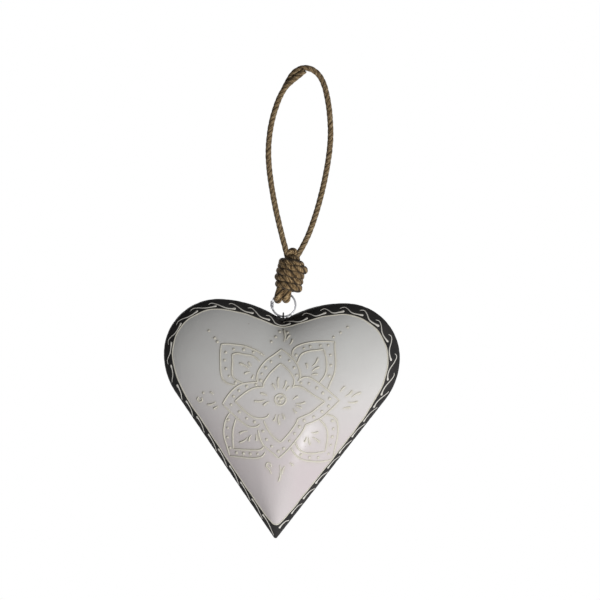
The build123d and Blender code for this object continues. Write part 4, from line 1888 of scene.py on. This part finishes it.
    def teardrops(self) -> Patch:
        """Teardrops: short strokes that bow to one side as a parabola and swell towards their outer end.

        Returns:
            The strokes.
        """
        tail_x, tail_z, head_x, head_z = np.array(self.drops).T[..., None]
        t = np.linspace(0, 1, self.drop_stations)[None]
        side = np.where(np.arange(len(tail_x)) % 2, 1, -1)[:, None]
        bow = 4 * t * (1 - t) * self.drop_bend * side
        x = tail_x + (head_x - tail_x) * t - (head_z - tail_z) * bow + self.centre_x
        z = tail_z + (head_z - tail_z) * t + (head_x - tail_x) * bow + self.centre_z
        width = self.drop_thin + (self.drop_thick - self.drop_thin) * t[0] ** self.drop_power
        width = width * round_ends(self.drop_stations, self.drop_ends)
        return self.relief.flat_lines(x, z, width, self.rise * np.minimum(width, self.drop_high_width))

    def build(self, material: bpy.types.Material) -> Array:
        """Make the flower.

        Args:
            material: its finish.

        Returns:
            X and Z of the relief's points, for the painted shade and wash beside it.
        """
        side = self.relief.face.name.lower()
        made = {"lines": self.lines(), "beads": self.bead_dots(), "drops": self.teardrops()}
        for kind, patch in made.items():
            add_piece(f"{side}_flower_{kind}", patch, material, Body.HEART)
        return np.concatenate([patch.points[:, ::2] for patch in made.values()])


@dataclass
class HeartShells:
    """The two pressed half shells and the solder bead round their seam."""

    form: HeartForm
    sheet: float = 0.6
    bead_rise: float = 0.5
    bead_half_width: float = 0.9
    bead_seat: float = 0.1
    bead_uneven: float = 0.16
    bead_counts: Pair = (83, 29)
    bead_stations: int = 900
    bead_points: int = 9
    rows: int = 150
    inner_rows: int = 24
    columns: int = 440
    crown: float = 0.995
    mean_reach: float = 60.0
    wash_and_shade_cell: float = 0.4
    wash_and_shade_reach: float = 0.8
    wash_and_shade_half_cells: int = 6
    wash_and_shade_gain: float = 1.5
    wash_and_shade_span: tuple[Span, Span] = ((-80.0, 80.0), (-295.0, -135.0))

    def shell(self, face: Face) -> Patch:
        """Sheet of one half: an outer and an inner dome, joined at the edge.

        Each dome is a grid of the place round the outline and the outline's scale.

        Args:
            face: the half.

        Returns:
            The sheet.
        """
        share = np.linspace(0, 1, self.columns, endpoint=False)[None]
        quarter = QUARTER * self.crown
        skin = self.form.surface(share, np.cos(np.linspace(quarter, 0, self.rows))[:, None], face)
        under = self.form.surface(share, np.cos(np.linspace(0, quarter, self.inner_rows))[:, None], face)
        middle = AXIS_Z * self.form.dome_z
        inner = middle + (under - middle) * (1 - self.sheet / self.mean_reach)
        inner[..., 1] = under[..., 1] - face.value * self.sheet
        flat = AXIS_X + AXIS_Z
        rows = np.concatenate([skin, skin[-1:] * flat, inner[:1] * flat, inner[1:]])
        return grid_patch(rows[None], wrap=True)

    def wash(self, piece: bpy.types.Object, marks: Array) -> None:
        """Write how near each point of a shell is to the relief, which sets the painted shade and wash
        there.

        The relief's points mark the cells of a grid, and a bell curve blurs the cells both ways.

        Args:
            piece: the shell.
            marks: X and Z of the relief's points.
        """
        low, high = self.wash_and_shade_span[0]
        cells = int((high - low) / self.wash_and_shade_cell)
        count, edge_x, edge_z = np.histogram2d(marks[:, 0], marks[:, 1], cells, self.wash_and_shade_span)
        reach = np.arange(-self.wash_and_shade_half_cells, self.wash_and_shade_half_cells + 1) * self.wash_and_shade_cell
        kernel = np.exp(-((reach / self.wash_and_shade_reach) ** 2) / 2)
        blur = np.minimum(count, 1)
        for axis in (0, 1):
            blur = np.apply_along_axis(np.convolve, axis, blur, kernel / kernel.sum(), mode="same")
        points = np.zeros(len(piece.data.vertices) * 3)
        piece.data.vertices.foreach_get("co", points)
        x, _, z = points.reshape(-1, 3).T / MM
        column = np.clip(np.searchsorted(edge_x, x) - 1, 0, cells - 1)
        row = np.clip(np.searchsorted(edge_z, z) - 1, 0, cells - 1)
        near = np.clip(self.wash_and_shade_gain * blur[column, row], 0, 1)
        layer = piece.data.attributes.new("wash", "FLOAT", "POINT")
        layer.data.foreach_set("value", near.astype(np.float32))

    def bead(self) -> Patch:
        """Bead of solder: a half ellipse square to the outline, carried round the seam, a little uneven.

        Returns:
            The bead.
        """
        share = np.linspace(0, 1, self.bead_stations, endpoint=False)
        x, z = self.form.outline(share, np.array(1.0))
        flat = np.stack([x, 0 * x, z], axis=-1)
        along = unit(np.roll(flat, -1, 0) - np.roll(flat, 1, 0))
        out = np.cross(along, -AXIS_Y)
        angle = np.linspace(-QUARTER, QUARTER, self.bead_points)
        swell = np.minimum(uneven(share, self.bead_uneven, self.bead_counts), 1)
        rise = self.bead_rise * swell[:, None] * np.cos(angle) - self.bead_seat
        section = flat[:, None] + out[:, None] * rise[..., None]
        section = section + (self.bead_half_width * np.sin(angle))[:, None] * AXIS_Y
        return grid_patch(section[None], wrap=True, loop=True)

    def build(self, finishes: Finishes, marks: dict[Face, Array]) -> None:
        """Make both shells, with the painted shade and wash beside their relief, and the bead.

        Args:
            finishes: the paints.
            marks: X and Z of the relief's points on each face.
        """
        white, black = finishes[Coat.WHITE], finishes[Coat.BLACK]
        for face in Face:
            side = face.name.lower()
            sheet = self.shell(face)
            tin = add_piece(f"{side}_tin", sheet, white, Body.HEART, [f"{side}_shell"])
            self.wash(tin, marks[face])
        add_piece("seam_bead", self.bead(), black, Body.HEART, ["seam_solder"])


@dataclass
class HangerEye:
    """Wire staple in the notch that holds the ring, with lumps of solder round its feet.

    A lump is given by X, Z from the hinge, half its width and half its height. A wave on it is given by its
    size, its counts round and up the lump, and its phase.
    """

    ring: WireRing
    wire: float = 1.0
    clearance: float = 0.28
    leg: float = 3.4
    leg_start: float = 0.2
    arch_stations: int = 40
    leg_stations: int = 6
    sides: int = 14
    lump_y: float = 2.42
    lump_depth: float = 0.85
    lumps: tuple[Four, ...] = (
        (-3.5, -1.3, 1.9, 1.45),
        (-0.2, -2.2, 2.5, 1.40),
        (3.1, -1.6, 2.0, 1.25),
        (5.5, -0.2, 1.0, 1.15),
    )
    side_waves: tuple[Four, ...] = ((0.10, 3, 0, 1), (0.08, 5, 4, 0))
    top_wave: Four = (0.14, 4, 0, 2)
    lump_rows: int = 16
    lump_sides: int = 28

    @property
    def hinge_z(self) -> float:
        """Height of the ring's lowest point."""
        return self.ring.centre_z - self.ring.radius

    @property
    def radius(self) -> float:
        """Radius of the staple's arch."""
        return self.ring.pair_reach + self.clearance + self.wire / 2

    def staple(self) -> Patch:
        """Round wire along half a circle with a straight leg at each end.

        Returns:
            The wire.
        """
        angle = np.linspace(0, math.pi, self.arch_stations)
        y, z = -self.radius * np.cos(angle), self.hinge_z + self.radius * np.sin(angle)
        arch = np.stack([0 * angle, y, z], axis=-1)
        drop = np.linspace(self.leg, self.leg_start, self.leg_stations)[:, None] * -AXIS_Z
        path = np.concatenate([arch[:1] + drop, arch, arch[-1:] + drop[::-1]])
        return tube_patch(path, self.wire / 2, AXIS_X, self.sides)

    def solder(self) -> Patch:
        """Lumps in front of and behind the staple's feet: ellipsoids waved round their axis.

        Returns:
            The lumps of both sides.
        """
        rise = np.linspace(-QUARTER, QUARTER, self.lump_rows)[:, None]
        turn = np.linspace(0, TURN, self.lump_sides, endpoint=False)[None]
        wave = sum(size * np.sin(m * turn + n * rise + phase) for size, m, n, phase in self.side_waves)
        lump = np.cos(rise) * (1 + wave * np.cos(rise))
        size, m, n, phase = self.top_wave
        top = np.sin(rise) * (1 + size * np.cos(rise) * np.sin(m * turn + n * rise + phase))
        ball = np.stack(np.broadcast_arrays(lump * np.cos(turn), lump * np.sin(turn), top), axis=-1)
        made = []
        for x, z, width, height in self.lumps:
            for side in Face:
                place = np.array((x, side.value * self.lump_y, self.hinge_z + z))
                made.append(place + ball * np.array((width, self.lump_depth, height)))
        return grid_patch(np.array(made), wrap=True)

    def build(self, material: bpy.types.Material) -> None:
        """Make the staple and the solder at its feet.

        Args:
            material: the paint on both.
        """
        add_piece("eye_staple", self.staple(), material, Body.HEART, ["hanger_eye"])
        add_piece("eye_solder", self.solder(), material, Body.HEART)


def main() -> None:
    """Build the camera and light, the rope, the ring and the heart."""
    logging.basicConfig(level=logging.INFO, format="%(name)s %(message)s")
    PhotoCamera().build()
    Studio().build()
    scroll = PipedPaint(
        "scroll_paint",
        colour=(0.78, 0.76, 0.71, 1),
        rubbed_colour=(0.60, 0.56, 0.48, 1),
        rubbed_share=0.3,
        foot_shade_share=0.35,
    )
    worn = JuteYarn(
        "knot_jute",
        dark=(0.040, 0.022, 0.009, 1),
        brown=(0.255, 0.158, 0.068, 1),
        straw=(0.64, 0.47, 0.26, 1),
        spread=0.075,
    )
    finishes = {
        Coat.WHITE: PressedTinPaint().material(),
        Coat.BLACK: BandPaint().material(),
        Coat.CREAM: PipedPaint().material(),
        Coat.SCROLL: scroll.material(),
        Coat.WIRE: GalvanisedWire().material(),
        Coat.JUTE: JuteYarn().material(),
        Coat.KNOT: worn.material(),
    }
    hinge = {joint["name"]: joint["pos_m"][2] / MM for joint in frame["joints"]}
    ring = WireRing(centre_z=hinge["heart_sway"])
    knot = RopeKnot(JuteRope(diameter=5.6, lay=14.0), JuteRope(diameter=4.4), ring)
    RopeLoop(JuteRope()).build(finishes[Coat.JUTE], knot.build(finishes[Coat.KNOT]))
    ring.build(finishes[Coat.WIRE])
    form = HeartForm()
    marks = {}
    for face in Face:
        relief = Relief(form, face)
        RimBand(relief).build(finishes)
        marks[face] = FlowerRelief(relief).build(finishes[Coat.CREAM])
    HeartShells(form).build(finishes, marks)
    HangerEye(ring).build(finishes[Coat.BLACK])


if __name__ == "__main__":
    main()
